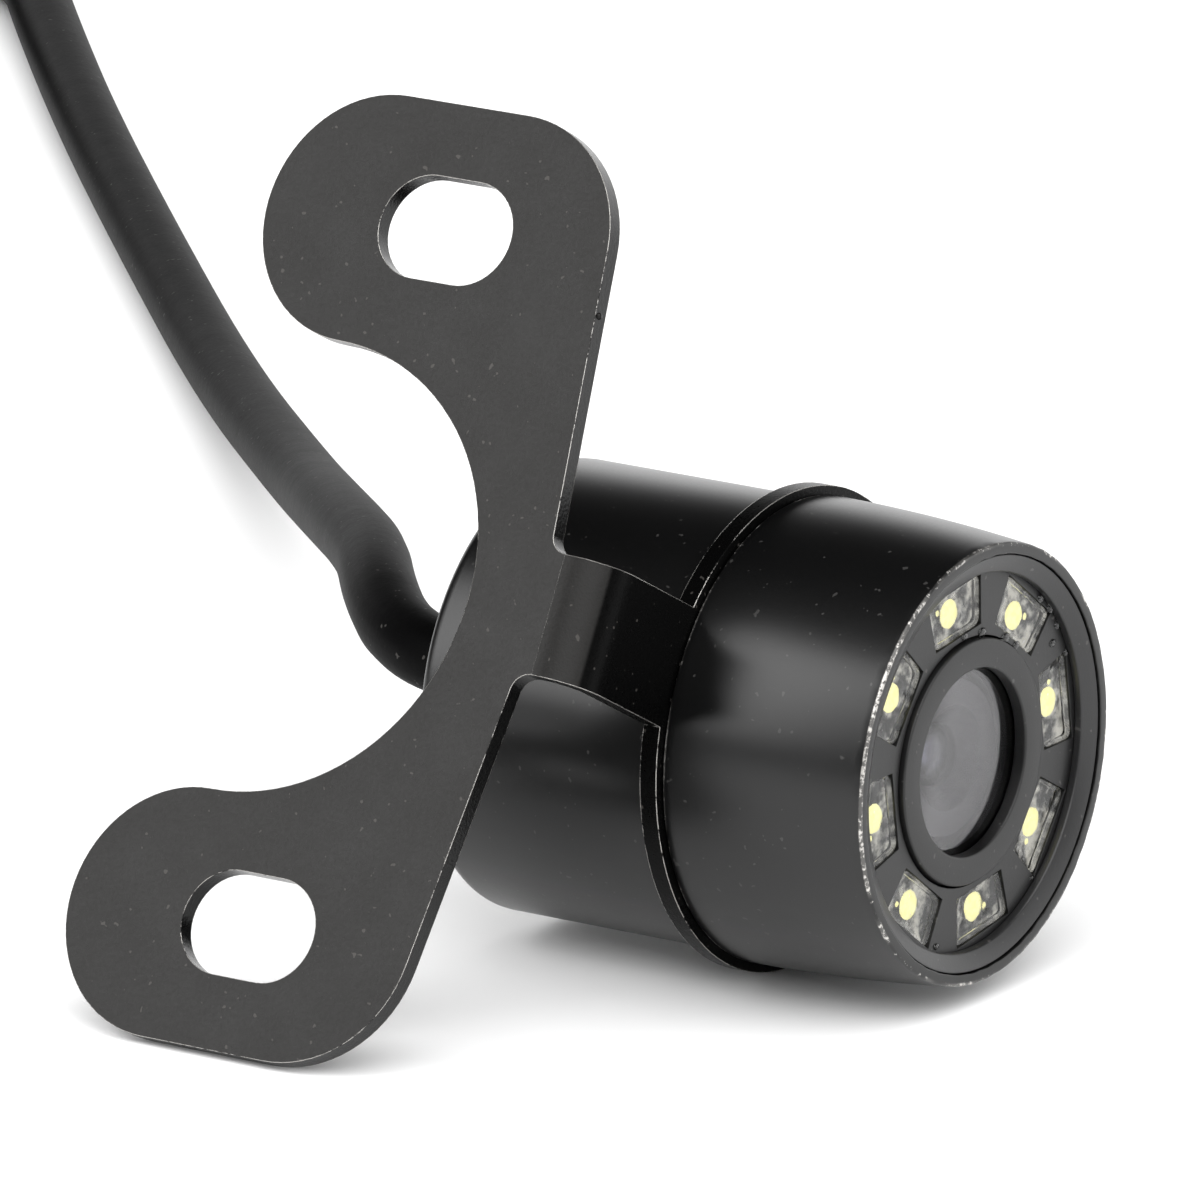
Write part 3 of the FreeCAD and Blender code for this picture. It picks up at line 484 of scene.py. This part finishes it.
def lens_glass(name, tint, rough):
    """Coated glass with the faintest haze."""
    material, tree, shader = new_material(name, tint, rough, Transmission_Weight=1.0, IOR=1.52)
    haze = maths(tree, "ADD", maths(tree, "MULTIPLY", noise(tree, 5000.0, 2.0), 0.08), rough)
    tree.links.new(haze, shader.inputs["Roughness"])
    return material


def phosphor():
    """Yellow phosphor of a white light, slightly mottled, with a painted glow: its emission keeps it bright
    even in shade.
    """
    color = looks().phosphor
    dull = tuple(0.25 * value for value in color)
    # Painted light: the emission is a painted glow that keeps the phosphor bright, though it is no lamp.
    material, tree, shader = new_material("phosphor", dull, 0.45, Emission_Strength=0.92)
    mottled = blend_color(tree, ramp(tree, noise(tree, 3000.0, 2.0), 0.35, 0.65), color,
                          (color[0], color[1] * 0.95, color[2] * 0.78))
    tree.links.new(mottled, shader.inputs["Emission Color"])
    return material


def painted_glint_seat():
    """Pale seat round a light, with painted glints and a painted glow: its bright and dark patches stand in
    for reflections seen through its window, and its emission keeps them bright.
    """
    # Painted light: the patches are painted reflections, and the emission is a painted glow.
    material, tree, shader = new_material("painted_glint_seat", (0.3, 0.3, 0.29), 0.4, Emission_Strength=0.34)
    patches = weighted(tree, noise(tree, 1300.0, 3.0, 0.6), 0.6, noise(tree, 480.0, 1.0), 0.4)
    shade = blend_color(tree, ramp(tree, patches, 0.42, 0.6), (0.09, 0.09, 0.088), (0.66, 0.65, 0.61))
    tree.links.new(shade, shader.inputs["Base Color"])
    tree.links.new(shade, shader.inputs["Emission Color"])
    return material


def simple_finish(name, color, roughness, metallic=0.0, grain=3000.0, spread=0.15, bump=0.2):
    """A plain moulded, plated or coated finish with grain."""
    material, tree, shader = new_material(name, color, roughness, metallic)
    speckle = effect(tree, "finish_grain", Scale=grain, Spread=spread)
    tree.links.new(maths(tree, "ADD", speckle["Value"], roughness, clamp=True), shader.inputs["Roughness"])
    tree.links.new(bumped(tree, speckle["Height"], bump, 0.02 * MM), shader.inputs["Normal"])
    shade = tuple(0.75 * value for value in color)
    tree.links.new(blend_color(tree, speckle["Height"], shade, color), shader.inputs["Base Color"])
    return material


def paint_nodes(material, *nodes):
    """Gives CAD nodes a material."""
    for node in nodes:
        mesh = frame["nodes"][node].data
        mesh.materials.clear()
        mesh.materials.append(material)


def paint(material, *pieces):
    """Gives pieces made here a material."""
    for piece in pieces:
        piece.data.materials.clear()
        piece.data.materials.append(material)


def looks_lead():
    return bpy.context.scene.lead_looks


# ---- operators: the lead ----

# The lead's route after its straight run out of the gland, and its tail's after the coil, in metres.
EXIT_RUN = 4.3 * MM
LEAD_ROUTE = [
    (-0.0189, 0.0108, 0.0131),
    (-0.0234, 0.0153, 0.0138),
    (-0.0292, 0.0229, 0.0133),
    (-0.0412, 0.0366, 0.0104),
    (-0.0574, 0.0562, 0.0056),
    (-0.0804, 0.0810, 0.0023),
    (-0.1040, 0.1060, 0.0020),
    (-0.1240, 0.1274, 0.0020),
    (-0.1406, 0.1460, 0.0020),
    (-0.1515, 0.1586, 0.0021),
    (-0.1655, 0.1626, 0.0024),
    (-0.1785, 0.1596, 0.0026),
]
TAIL_ROUTE = [
    (-0.1913, 0.1242, 0.0066),
    (-0.1846, 0.1152, 0.0066),
    (-0.1768, 0.1074, 0.0065),
    (-0.1676, 0.1016, 0.0065),
]


def coil_points(diameter, count):
    """The coil's turns, from where the lead meets the coil to where its tail leaves: along the bottom
    layer to its inner turn, then up and back out on top. The radius and height step over a short part of a
    turn. The curve runs inside its control points, so their radius is larger by 1 / cut_inside."""
    low, high = box_of("cable_coil")
    centre = (low + high) / 2
    outer = (high[0] - low[0]) / 2 - diameter / 2
    bottom = low[2] + diameter / 2
    start = math.atan2(LEAD_ROUTE[-1][1] - centre[1], LEAD_ROUTE[-1][0] - centre[0])
    end = math.atan2(TAIL_ROUTE[0][1] - centre[1], TAIL_ROUTE[0][0] - centre[0]) % TAU + 3 * TAU
    step = TAU / count
    angle = np.arange(start + step, end - step / 2, step)
    turn = (angle - start) / TAU
    inward = np.clip((turn - 0.85) / 0.3, 0, 1) - np.clip((turn - 2.9) / 0.3, 0, 1)
    upward = np.clip((turn - 1.85) / 0.3, 0, 1)
    cut_inside = (3 + math.cos(step)) / 4
    loose = 1 + 0.004 * np.sin(3 * angle + 1.0)
    radius = (outer - inward * diameter) * loose / cut_inside
    height = bottom + upward * diameter
    return np.stack([centre[0] + radius * np.cos(angle), centre[1] + radius * np.sin(angle), height],
                    axis=1)


class MESH_OT_lead(bpy.types.Operator):
    """The lead from the gland to its plug, with its coil"""

    bl_idname = "mesh.camera_lead"
    bl_label = "Lead"

    def execute(self, context):
        diameter = context.scene.lead_looks.diameter
        exit_point = (float(box_of("cable_tube")[1][0]), AXIS_Y, AXIS_Z)
        straight = (exit_point[0] - EXIT_RUN, AXIS_Y, AXIS_Z)
        coil = coil_points(diameter, context.scene.lead_looks.turn_points)
        route = [exit_point, straight, *LEAD_ROUTE, *coil.tolist(), *TAIL_ROUTE]
        curve = bpy.data.curves.new("lead", "CURVE")
        curve.dimensions = "3D"
        curve.bevel_depth = 1.0
        curve.bevel_resolution = 8
        curve.resolution_u = 8
        curve.use_fill_caps = True
        spline = curve.splines.new("NURBS")
        spline.points.add(len(route) - 1)
        for point, place in zip(spline.points, route):
            point.co = (*place, 1)
            point.radius = diameter / 2
        spline.order_u = 3
        spline.use_endpoint_u = True
        lead = bpy.data.objects.new("lead", curve)
        context.scene.collection.objects.link(lead)
        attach(lead, "bracket")
        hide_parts("cable_tube", "cable_coil", "cable_tail")
        paint(cable_jacket(), lead)
        on_lead = [frame["nodes"]["cable_tie"]] + [bpy.data.objects[name] for name in
                                                   ("plug_boot_ribbed", "plug_shell", "plug_nut")]
        on_lead += [frame["nodes"][name] for name in ("plug_insert", "plug_pins")]
        return {"FINISHED"}


class MESH_OT_plug(bpy.types.Operator):
    """The plug on the lead's end: ribbed boot, shell, knurled locking nut, insert and pins"""

    bl_idname = "mesh.camera_plug"
    bl_label = "Plug"

    def execute(self, context):
        end, before = np.array(TAIL_ROUTE[-1]), np.array(TAIL_ROUTE[-2])
        along = (end - before) * [1, 1, 0]
        along = along / np.linalg.norm(along)
        origin = end.copy()
        origin[2] = radius_of("plug_collar")

        def reach(node):
            """The stretch of the plug's axis that a node takes up, from its box's corners."""
            low, high = box_of(node)
            radius = radius_of(node)
            spread = abs(along[0]) + abs(along[1])
            across = 2 * radius * (math.sqrt(1 - along[0] ** 2) + math.sqrt(1 - along[1] ** 2))
            length = ((high[0] - low[0]) + (high[1] - low[1]) - across) / spread
            middle = float(np.dot((low + high)[:2] / 2 - origin[:2], along[:2]))
            return middle - length / 2, middle + length / 2

        plastic = simple_finish("plug_plastic", (0.012, 0.012, 0.013), 0.42)
        collar_plastic = simple_finish("plug_collar_plastic", (0.03, 0.03, 0.033), 0.36)
        body_low, body_high = reach("plug_body")
        collar_low, collar_high = reach("plug_collar")
        boot_end = body_low
        ribs = 6
        tip, root, groove, smooth_end = 2.6 * MM, 4.35 * MM, 0.35 * MM, 0.6 * MM
        edges = np.linspace(smooth_end, boot_end - smooth_end, 2 * ribs + 1)
        widths = tip + (root - tip) * edges / boot_end
        widths = widths - groove * (np.arange(len(edges)) % 2)
        profile = [(0, 0), (0, tip)] + list(zip(edges, widths)) + [(boot_end, root), (boot_end, 0)]
        boot = turned("plug_boot_ribbed", softened(profile, 0.2 * MM), "bracket", origin, along,
                      replaces=["plug_boot"], slot="plug_plastic")
        inner = radius_of("plug_body")
        step_down, socket, socket_depth = 0.5 * MM, 4.3 * MM, 6 * MM
        shell = turned("plug_shell", softened([
            (body_low, 0), (body_low, inner), (collar_low, inner), (collar_low, inner - step_down),
            (body_high, inner - step_down), (body_high, socket), (body_high - socket_depth, socket),
            (body_high - socket_depth, 0)], 0.18 * MM), "bracket", origin, along,
            replaces=["plug_body"], slot="plug_plastic")

        flutes, flute_depth = 24, 0.25 * MM

        def knurl(place, radius, angle):
            """Flutes cut into the nut's outer wall, except near its ends."""
            outside = (radius > inner + 0.5 * MM) * (place > collar_low + 1.2 * MM)
            outside = outside * (place < collar_high - 1.2 * MM)
            return -flute_depth * outside * (0.5 + 0.5 * np.cos(flutes * angle)) ** 2

        outer, bore = radius_of("plug_collar"), inner - 0.45 * MM
        steps = np.linspace(collar_low + 0.9 * MM, collar_high - 0.9 * MM, 9)
        profile = [(collar_low, bore), (collar_low, outer)] + [(step, outer) for step in steps]
        profile += [(collar_high, outer), (collar_high, bore)]
        nut = turned("plug_nut", softened(profile, 0.25 * MM), "bracket", origin, along,
                     wobble=knurl, replaces=["plug_collar"], slot="plug_collar_plastic")
        paint(plastic, boot, shell)
        paint(collar_plastic, nut)
        paint_nodes(plastic, "plug_insert")
        paint_nodes(simple_finish("contact_metal", (0.85, 0.66, 0.32), 0.22, 1.0), "plug_pins")
        paint_nodes(simple_finish("tie_plastic", (0.015, 0.015, 0.015), 0.4), "cable_tie")
        return {"FINISHED"}


# ---- operators: the camera head ----

# The barrel's radii and walls that its pieces' boxes don't give.
NECK_RADIUS = 9.6 * MM
HOUSING_BORE = 8.75 * MM
SHELL_BORE = 8.6 * MM
SHELL_BULGE = 102 * MM
END_WALL = 1.6 * MM
GLAND_HOLE = 2.9 * MM

# Where the lights' pockets lie in the face: how far they reach from the axis, and their half widths there.
POCKET_REACH = np.array([6.88, 9.47]) * MM
POCKET_HALF_WIDTH = np.array([2.07, 2.42]) * MM
LIGHT_CIRCLE = 8.15 * MM
SEAT_DROP = 0.95 * MM
SEAT_THICKNESS = 0.08 * MM
WINDOW_DROP = 0.24 * MM

# Drops of resin that ran over when the windows were filled: angle in degrees, then distance from the axis,
# width and thickness in millimetres.
STRAY_RESIN = [
    (47, 9.8, 0.42, 0.16), (40, 10.1, 0.55, 0.2), (33, 9.9, 0.4, 0.14), (30, 9.0, 0.3, 0.12),
    (22, 9.9, 0.34, 0.14), (94, 6.75, 0.3, 0.1), (80, 6.7, 0.36, 0.12), (60, 6.7, 0.4, 0.14),
    (50, 6.75, 0.34, 0.12), (123, 9.6, 0.3, 0.1), (-108, 9.6, 0.26, 0.1), (-52, 9.7, 0.24, 0.1),
]


def pocket_block(name, angle, low, front, swell, **kept):
    """A block that fills a light's pocket. Each ring of its front is the pocket's outline drawn in
    towards its middle: point = middle + share * (outline - middle). The front stands higher by
    swell * (0.13 mm * share^8 + 0.12 mm * exp(-(distance from the light / 1 mm)^2))."""
    (near, far), (narrow, wide) = POCKET_REACH, POCKET_HALF_WIDTH
    outline = softened([(near, -narrow), (far, -wide), (far, wide), (near, narrow)], 0.5 * MM, 6)
    middle = np.array([LIGHT_CIRCLE, 0.0])
    share = np.array([0.0, 1.0, 1.0, 0.97, 0.9, 0.8, 0.66, 0.5, 0.34, 0.18, 0.0])[:, None]
    flat = middle + share[..., None] * (outline - middle)[None]
    bell = np.exp(-np.sum((flat - middle) ** 2, axis=2) / MM ** 2)
    height = front + swell * MM * (0.13 * share ** 8 + 0.12 * bell)
    height[:2] = low
    radial = np.array([0, math.cos(angle), math.sin(angle)])
    aside = np.array([0, -math.sin(angle), math.cos(angle)])
    points = ([0, AXIS_Y, AXIS_Z] + height[..., None] * [1, 0, 0] + flat[..., :1] * radial
              + flat[..., 1:] * aside)
    piece = finish_mesh(name, points.reshape(-1, 3), grid_faces(*height.shape, False, True), "head", **kept)
    tidy_poles(piece)
    return piece


class MESH_OT_barrel(bpy.types.Operator):
    """The rear housing, the front shell and the gland"""

    bl_idname = "mesh.camera_barrel"
    bl_label = "Barrel"

    def execute(self, context):
        edge = context.scene.camera_looks.edge
        metal = barrel_metal()
        neck_end = HOUSING_HIGH[0]
        flange = SHEET_REAR - RING_GAP
        rear, radius = HOUSING_LOW[0], radius_of("rear_housing")
        inside = rear + END_WALL
        rounding = np.array([0.1, 0.75, 0.12, 0.05, 0.2, 0.1, 0.05, 0.1]) * MM
        housing = turned("rear_housing_skin", softened([
            (rear, GLAND_HOLE), (rear, radius), (flange, radius), (flange, NECK_RADIUS),
            (neck_end, NECK_RADIUS), (neck_end, HOUSING_BORE), (inside, HOUSING_BORE),
            (inside, GLAND_HOLE)], rounding, 7),
            "head", replaces=["rear_housing"], slot="black_metal")

        start, wide, narrow = SHELL_LOW[0], radius_of("front_shell"), RIM_RADIUS
        # The outside swells from its rear edge to the rim: an arc of SHELL_BULGE plus a straight taper.
        share = np.linspace(0, 1, 22)
        along = share * (FRONT - start)
        sag = SHELL_BULGE - np.sqrt(SHELL_BULGE ** 2 - along ** 2)
        outside = wide - sag - share * (wide - narrow - sag[-1])
        profile = list(zip(start + along, outside))
        rim_corner = len(profile) - 1
        face_seat, neck_seat = FACE - 2.7 * MM, start + 5.35 * MM
        bore = radius_of("led_face_plate") + 0.05 * MM
        profile += [(FRONT, bore), (face_seat, bore), (face_seat, SHELL_BORE), (neck_seat, SHELL_BORE),
                    (neck_seat, NECK_RADIUS), (start, NECK_RADIUS)]
        rounding = np.full(len(profile), 0.02 * MM)
        rounding[0] = edge
        rounding[rim_corner] = 1.2 * edge
        rounding[rim_corner + 1] = 0.5 * edge
        rim_depth, dent = 0.35 * MM, 0.018 * MM

        def nicked(place, radius, angle):
            """Small dents in the thin rim, from a few waves that don't repeat together."""
            rim = np.clip((place - (FRONT - rim_depth)) / rim_depth, 0, 1)
            waves = np.sin(31 * angle) * np.sin(17 * angle + 1)
            waves = waves + np.sin(53 * angle + 2) * np.sin(7 * angle)
            return dent * rim * waves

        shell = turned("front_shell_skin", softened(profile, rounding, 5), "head", wobble=nicked,
                       replaces=["front_shell"], slot="black_metal")
        paint(metal, housing, shell)
        low, high = box_of("strain_relief")
        hole, tip, root, collar = 2.0 * MM, 2.8 * MM, 3.6 * MM, radius_of("strain_relief")
        gland = turned("strain_relief_skin", softened([
            (low[0], hole), (low[0], tip), (rear, root), (rear, GLAND_HOLE), (inside, GLAND_HOLE),
            (inside, collar), (high[0], collar), (high[0], hole)], 0.2 * MM), "head",
            replaces=["strain_relief"], slot="rubber")
        paint(simple_finish("gland_rubber", (0.012, 0.012, 0.012), 0.5), gland)
        return {"FINISHED"}


class MESH_OT_face(bpy.types.Operator):
    """The trim ring, the face plate and the ring round the lens"""

    bl_idname = "mesh.camera_face"
    bl_label = "Face"

    def execute(self, context):
        paint_nodes(face_plastic("face_plastic", 0.007, 0.42, 0.36), "led_face_plate")
        low, high = box_of("front_bezel_ring")
        outer = radius_of("front_bezel_ring")
        width, slope = 0.95 * MM, 0.45 * MM
        inner = outer - width
        trim = turned("trim_ring", softened([
            (low[0], inner), (high[0] - slope, inner), (high[0], outer), (low[0], outer)], 0.1 * MM),
            "head", replaces=["front_bezel_ring"], slot="face_plastic")
        low, high = box_of("lens_bezel")
        outer = radius_of("lens_bezel")
        glass = box_of("cover_glass")[1][0]
        seat, opening = 5.4 * MM, 4.9 * MM
        ring = turned("lens_ring", softened([
            (low[0], seat), (glass, seat), (glass, opening), (high[0], opening),
            (high[0], outer), (low[0], outer)], 0.14 * MM), "head",
            replaces=["lens_bezel"], slot="face_plastic")
        # Painted light: the trim ring is the face's plastic made twice as light, standing in for light on
        # its sloping face.
        paint(face_plastic("trim_plastic_painted_light", 0.015, 0.34, 0.5), trim)
        paint(face_plastic("lens_ring_plastic", 0.0042, 0.42, 0.36), ring)
        return {"FINISHED"}


class MESH_OT_lights(bpy.types.Operator):
    """The eight lights: package, pale seat with painted glints and a painted glow, phosphor dome with a
    painted glow and a painted glint, clear window and stray resin on the face
    """

    bl_idname = "mesh.camera_lights"
    bl_label = "Lights"

    def execute(self, context):
        spot = context.scene.camera_looks.light
        # The phosphor material carries a painted glow, and the seat material carries painted glints and a
        # painted glow.
        painted_glow, resin, seat = phosphor(), clear_resin(), painted_glint_seat()
        package = simple_finish("light_package", (0.5, 0.5, 0.47), 0.3, 0.6)
        lights = sorted(name for name in frame["nodes"] if name[:4] == "led_" and name[4:].isdigit())
        for node in lights:
            number = int(node[4:])
            angle = light_angle(node)
            radial = np.array([0, math.cos(angle), math.sin(angle)])
            aside = np.array([0, -math.sin(angle), math.cos(angle)])
            middle = np.array([FACE - SEAT_DROP, AXIS_Y, AXIS_Z]) + LIGHT_CIRCLE * radial
            # The second blob beside each light is a painted glint: a small dot in the glowing phosphor
            # material that stands in for a reflection on the light's dome.
            painted_glint = middle + 0.95 * MM * aside * (-1) ** number + 0.35 * MM * radial
            dome = ellipsoids("light_spot_%d" % number, [middle, painted_glint],
                              [(0.14 * MM, spot, spot), (0.1 * MM, 0.16 * MM, 0.16 * MM)], "head",
                              slot="light_phosphor")
            seat_top = FACE - SEAT_DROP
            under = pocket_block("light_seat_%d" % number, angle, seat_top - SEAT_THICKNESS, seat_top, 0.0,
                                 slot="connector_plastic")
            window = pocket_block("window_resin_%d" % number, angle, seat_top, FACE - WINDOW_DROP, 1.0,
                                  replaces=["led_window_%d" % number], slot="clear_plastic")
            paint(painted_glow, dome)
            paint(seat, under)
            paint(resin, window)
            paint_nodes(package, node)
        places, sizes = [], []
        for degrees, radius, width, thick in STRAY_RESIN:
            turn = math.radians(degrees)
            places.append((FACE, AXIS_Y + radius * MM * math.cos(turn),
                           AXIS_Z + radius * MM * math.sin(turn)))
            sizes.append((thick * MM, width * MM, 0.7 * width * MM))
        drips = ellipsoids("stray_resin", places, sizes, "head", slot="clear_plastic")
        paint(resin, drips)
        return {"FINISHED"}


class MESH_OT_lens(bpy.types.Operator):
    """The cover glass, the lens and what is behind them"""

    bl_idname = "mesh.camera_lens"
    bl_label = "Lens"

    def execute(self, context):
        low, high = box_of("cover_glass")
        radius = radius_of("cover_glass")
        glass = turned("cover_glass_disc", softened([
            (low[0], 1e-9), (low[0], radius), (high[0], radius), (high[0], 1e-9)],
            np.array([0, 0.05, 0.05, 0]) * MM), "head", replaces=["cover_glass"], slot="lens_glass")
        paint(lens_glass("cover_glass", (0.8, 0.79, 0.82), 0.05), glass)
        low, high = box_of("front_lens")
        radius = radius_of("front_lens")
        share = np.linspace(0, 1, 12)
        crown, axis = 0.3 * MM, 1e-9
        front = np.stack([high[0] - crown * share ** 2, radius * share + axis], axis=1)
        lens = turned("front_lens_dome", list(map(tuple, front)) + [(low[0], radius), (low[0], axis)],
                      "head", replaces=["front_lens"], slot="lens_glass")
        paint(lens_glass("front_lens", (0.75, 0.78, 0.95), 0.02), lens)
        paint_nodes(lens_glass("rear_lens", (0.8, 0.85, 0.95), 0.02), "rear_lens")
        paint_nodes(lens_glass("colour_filter", (0.55, 0.8, 0.85), 0.03), "ir_filter")
        paint_nodes(simple_finish("lens_plastic", (0.008, 0.008, 0.008), 0.35), "lens_barrel",
                    "lens_spacer", "lens_holder")
        return {"FINISHED"}


class MESH_OT_electronics(bpy.types.Operator):
    """Boards, chips, wires, seals and potting inside the housing"""

    bl_idname = "mesh.camera_electronics"
    bl_label = "Electronics"

    def execute(self, context):
        paint_nodes(simple_finish("circuit_board", (0.012, 0.05, 0.028), 0.3), "sensor_board",
                    "power_board")
        paint_nodes(simple_finish("light_board", (0.012, 0.012, 0.013), 0.3), "led_ring_board")
        paint_nodes(simple_finish("chip", (0.02, 0.02, 0.022), 0.45), "image_sensor", "power_chip",
                    "power_choke", "board_header")
        paint_nodes(simple_finish("screw_steel", (0.6, 0.59, 0.57), 0.28, 1.0), "holder_screws",
                    "board_spacers")
        paint_nodes(simple_finish("connector_plastic", (0.72, 0.7, 0.62), 0.4), "lead_connector")
        paint_nodes(simple_finish("wire_jacket", (0.4, 0.02, 0.015), 0.35), "lead_wires")
        paint_nodes(simple_finish("seal_rubber", (0.01, 0.01, 0.01), 0.55), "shell_seal", "glass_seal")
        paint_nodes(simple_finish("potting_resin", (0.01, 0.01, 0.01), 0.12), "potting")
        paint_nodes(simple_finish("lead_end_jacket", (0.01, 0.01, 0.01), 0.4), "lead_end")
        return {"FINISHED"}


# ---- operators: the bracket ----

# Small burrs left on the plate's edge where the stamped sheet broke away: places along the barrel and
# towards the upper ear, in millimetres.
BURRS = [(-8.35, 24.98), (2.35, 15.62), (-18.85, 18.2), (-18.8, -18.5), (-9.95, -25.05)]


class MESH_OT_bracket(bpy.types.Operator):
    """The stamped bracket"""

    bl_idname = "mesh.camera_bracket"
    bl_label = "Bracket"

    def execute(self, context):
        finish = bracket_paint()
        paint_nodes(finish, "bracket")
        places = [np.array([along * MM, AXIS_Y, AXIS_Z]) + up * MM * UPWARD
                  + (PLATE - 0.35 * MM) * OUTWARD for along, up in BURRS]
        size = (0.24 * MM, 0.2 * MM, 0.2 * MM)
        burrs = ellipsoids("stamping_burrs", places, [size] * len(BURRS), "bracket",
                           slot="bracket_paint")
        paint(finish, burrs)
        return {"FINISHED"}


# ---- operators: the stage ----

def area_light(name, place, aim, width, height, power, color=(1, 1, 1)):
    data = bpy.data.lights.new(name, "AREA")
    data.shape = "RECTANGLE"
    data.size, data.size_y, data.energy, data.color = width, height, power, color
    light = bpy.data.objects.new(name, data)
    bpy.context.scene.collection.objects.link(light)
    light.location = place
    light.rotation_euler = (Vector(aim) - Vector(place)).to_track_quat("-Z", "Y").to_euler()
    return light


class MESH_OT_stage(bpy.types.Operator):
    """Floor, soft lights, sky and camera"""

    bl_idname = "mesh.camera_stage"
    bl_label = "Stage"

    def execute(self, context):
        scene = context.scene
        aim = Vector((-2.31 * MM, 5.09 * MM, 18.96 * MM))
        azimuth, elevation, distance = math.radians(34.41), math.radians(15.54), 0.9
        away = Vector((math.sin(azimuth) * math.cos(elevation), -math.cos(azimuth) * math.cos(elevation),
                       math.sin(elevation)))
        data = bpy.data.cameras.new("camera")
        data.sensor_width, data.lens, data.clip_start = 36.0, 524.6, 0.01
        camera = bpy.data.objects.new("camera", data)
        scene.collection.objects.link(camera)
        camera.location = aim + away * distance
        camera.rotation_euler = (-away).to_track_quat("-Z", "Y").to_euler()
        scene.camera = camera

        side = 4.0
        corners = np.array([[-side, -side, 0], [side, -side, 0], [side, side, 0], [-side, side, 0]])
        mesh = bpy.data.meshes.new("floor")
        mesh.from_pydata(corners.tolist(), [], [(0, 1, 2, 3)])
        floor = bpy.data.objects.new("floor", mesh)
        scene.collection.objects.link(floor)
        mesh.materials.append(new_material("floor_white", (0.94, 0.94, 0.94), 0.8)[0])

        world = bpy.data.worlds.new("studio")
        scene.world = world
        world.use_nodes = True
        tree = world.node_tree
        # A bright screen stands low behind the camera head. Elsewhere reflections see a dark sky, which
        # still lights dull surfaces softly.
        sky = add(tree, "SeparateXYZ", [(0, add(tree, "TexCoord").outputs["Generated"])]).outputs
        screen = maths(tree, "MULTIPLY", ramp(tree, sky["Y"], 0.1, 0.4), ramp(tree, sky["Z"], 0.52, 0.2))
        ray = add(tree, "LightPath").outputs
        strength = maths(tree, "MAXIMUM", maths(tree, "MULTIPLY", screen, 1.75), 0.02)
        for kind, least in (("Is Camera Ray", 1.2), ("Is Diffuse Ray", 0.6)):
            strength = maths(tree, "MAXIMUM", strength, maths(tree, "MULTIPLY", ray[kind], least))
        background = tree.nodes["Background"]
        tree.links.new(strength, background.inputs["Strength"])
        background.inputs["Color"].default_value = (1, 1, 1, 1)
        scene.view_settings.view_transform = "Standard"

        centre = (0.0, 0.0, 0.012)
        area_light("key", (-0.463, -0.562, 0.45), centre, 0.5, 0.66, 4.6)
        data = bpy.data.lights.new("overhead", "SUN")
        data.energy, data.angle = 3.2, math.radians(75)
        overhead = bpy.data.objects.new("overhead", data)
        scene.collection.objects.link(overhead)
        toward_sun = Vector((0.52, -0.36, 0.775))
        overhead.rotation_euler = toward_sun.to_track_quat("Z", "Y").to_euler()
        return {"FINISHED"}


class VIEW3D_PT_camera_builder(bpy.types.Panel):
    """The builder's panel"""

    bl_label = "Reversing Camera"
    bl_space_type = "VIEW_3D"
    bl_region_type = "UI"
    bl_category = "Camera"

    def draw(self, context):
        for group in (context.scene.camera_looks, context.scene.lead_looks):
            for key in group.__annotations__:
                self.layout.prop(group, key)
        for piece in PIECES:
            self.layout.operator(piece.bl_idname)


PIECES = (MESH_OT_stage, MESH_OT_plug, MESH_OT_lead, MESH_OT_barrel, MESH_OT_face, MESH_OT_lights,
          MESH_OT_lens, MESH_OT_electronics, MESH_OT_bracket)
CLASSES = (CameraLooks, LeadLooks, *PIECES, VIEW3D_PT_camera_builder)


def register():
    for kind in CLASSES:
        bpy.utils.register_class(kind)
    bpy.types.Scene.camera_looks = PointerProperty(type=CameraLooks)
    bpy.types.Scene.lead_looks = PointerProperty(type=LeadLooks)


def unregister():
    del bpy.types.Scene.camera_looks
    del bpy.types.Scene.lead_looks
    for kind in reversed(CLASSES):
        bpy.utils.unregister_class(kind)


def main():
    register()
    edge_wear_group()
    grain_group()
    for piece in PIECES:
        category, name = piece.bl_idname.split(".")
        getattr(getattr(bpy.ops, category), name)()


if __name__ == "__main__":
    main()
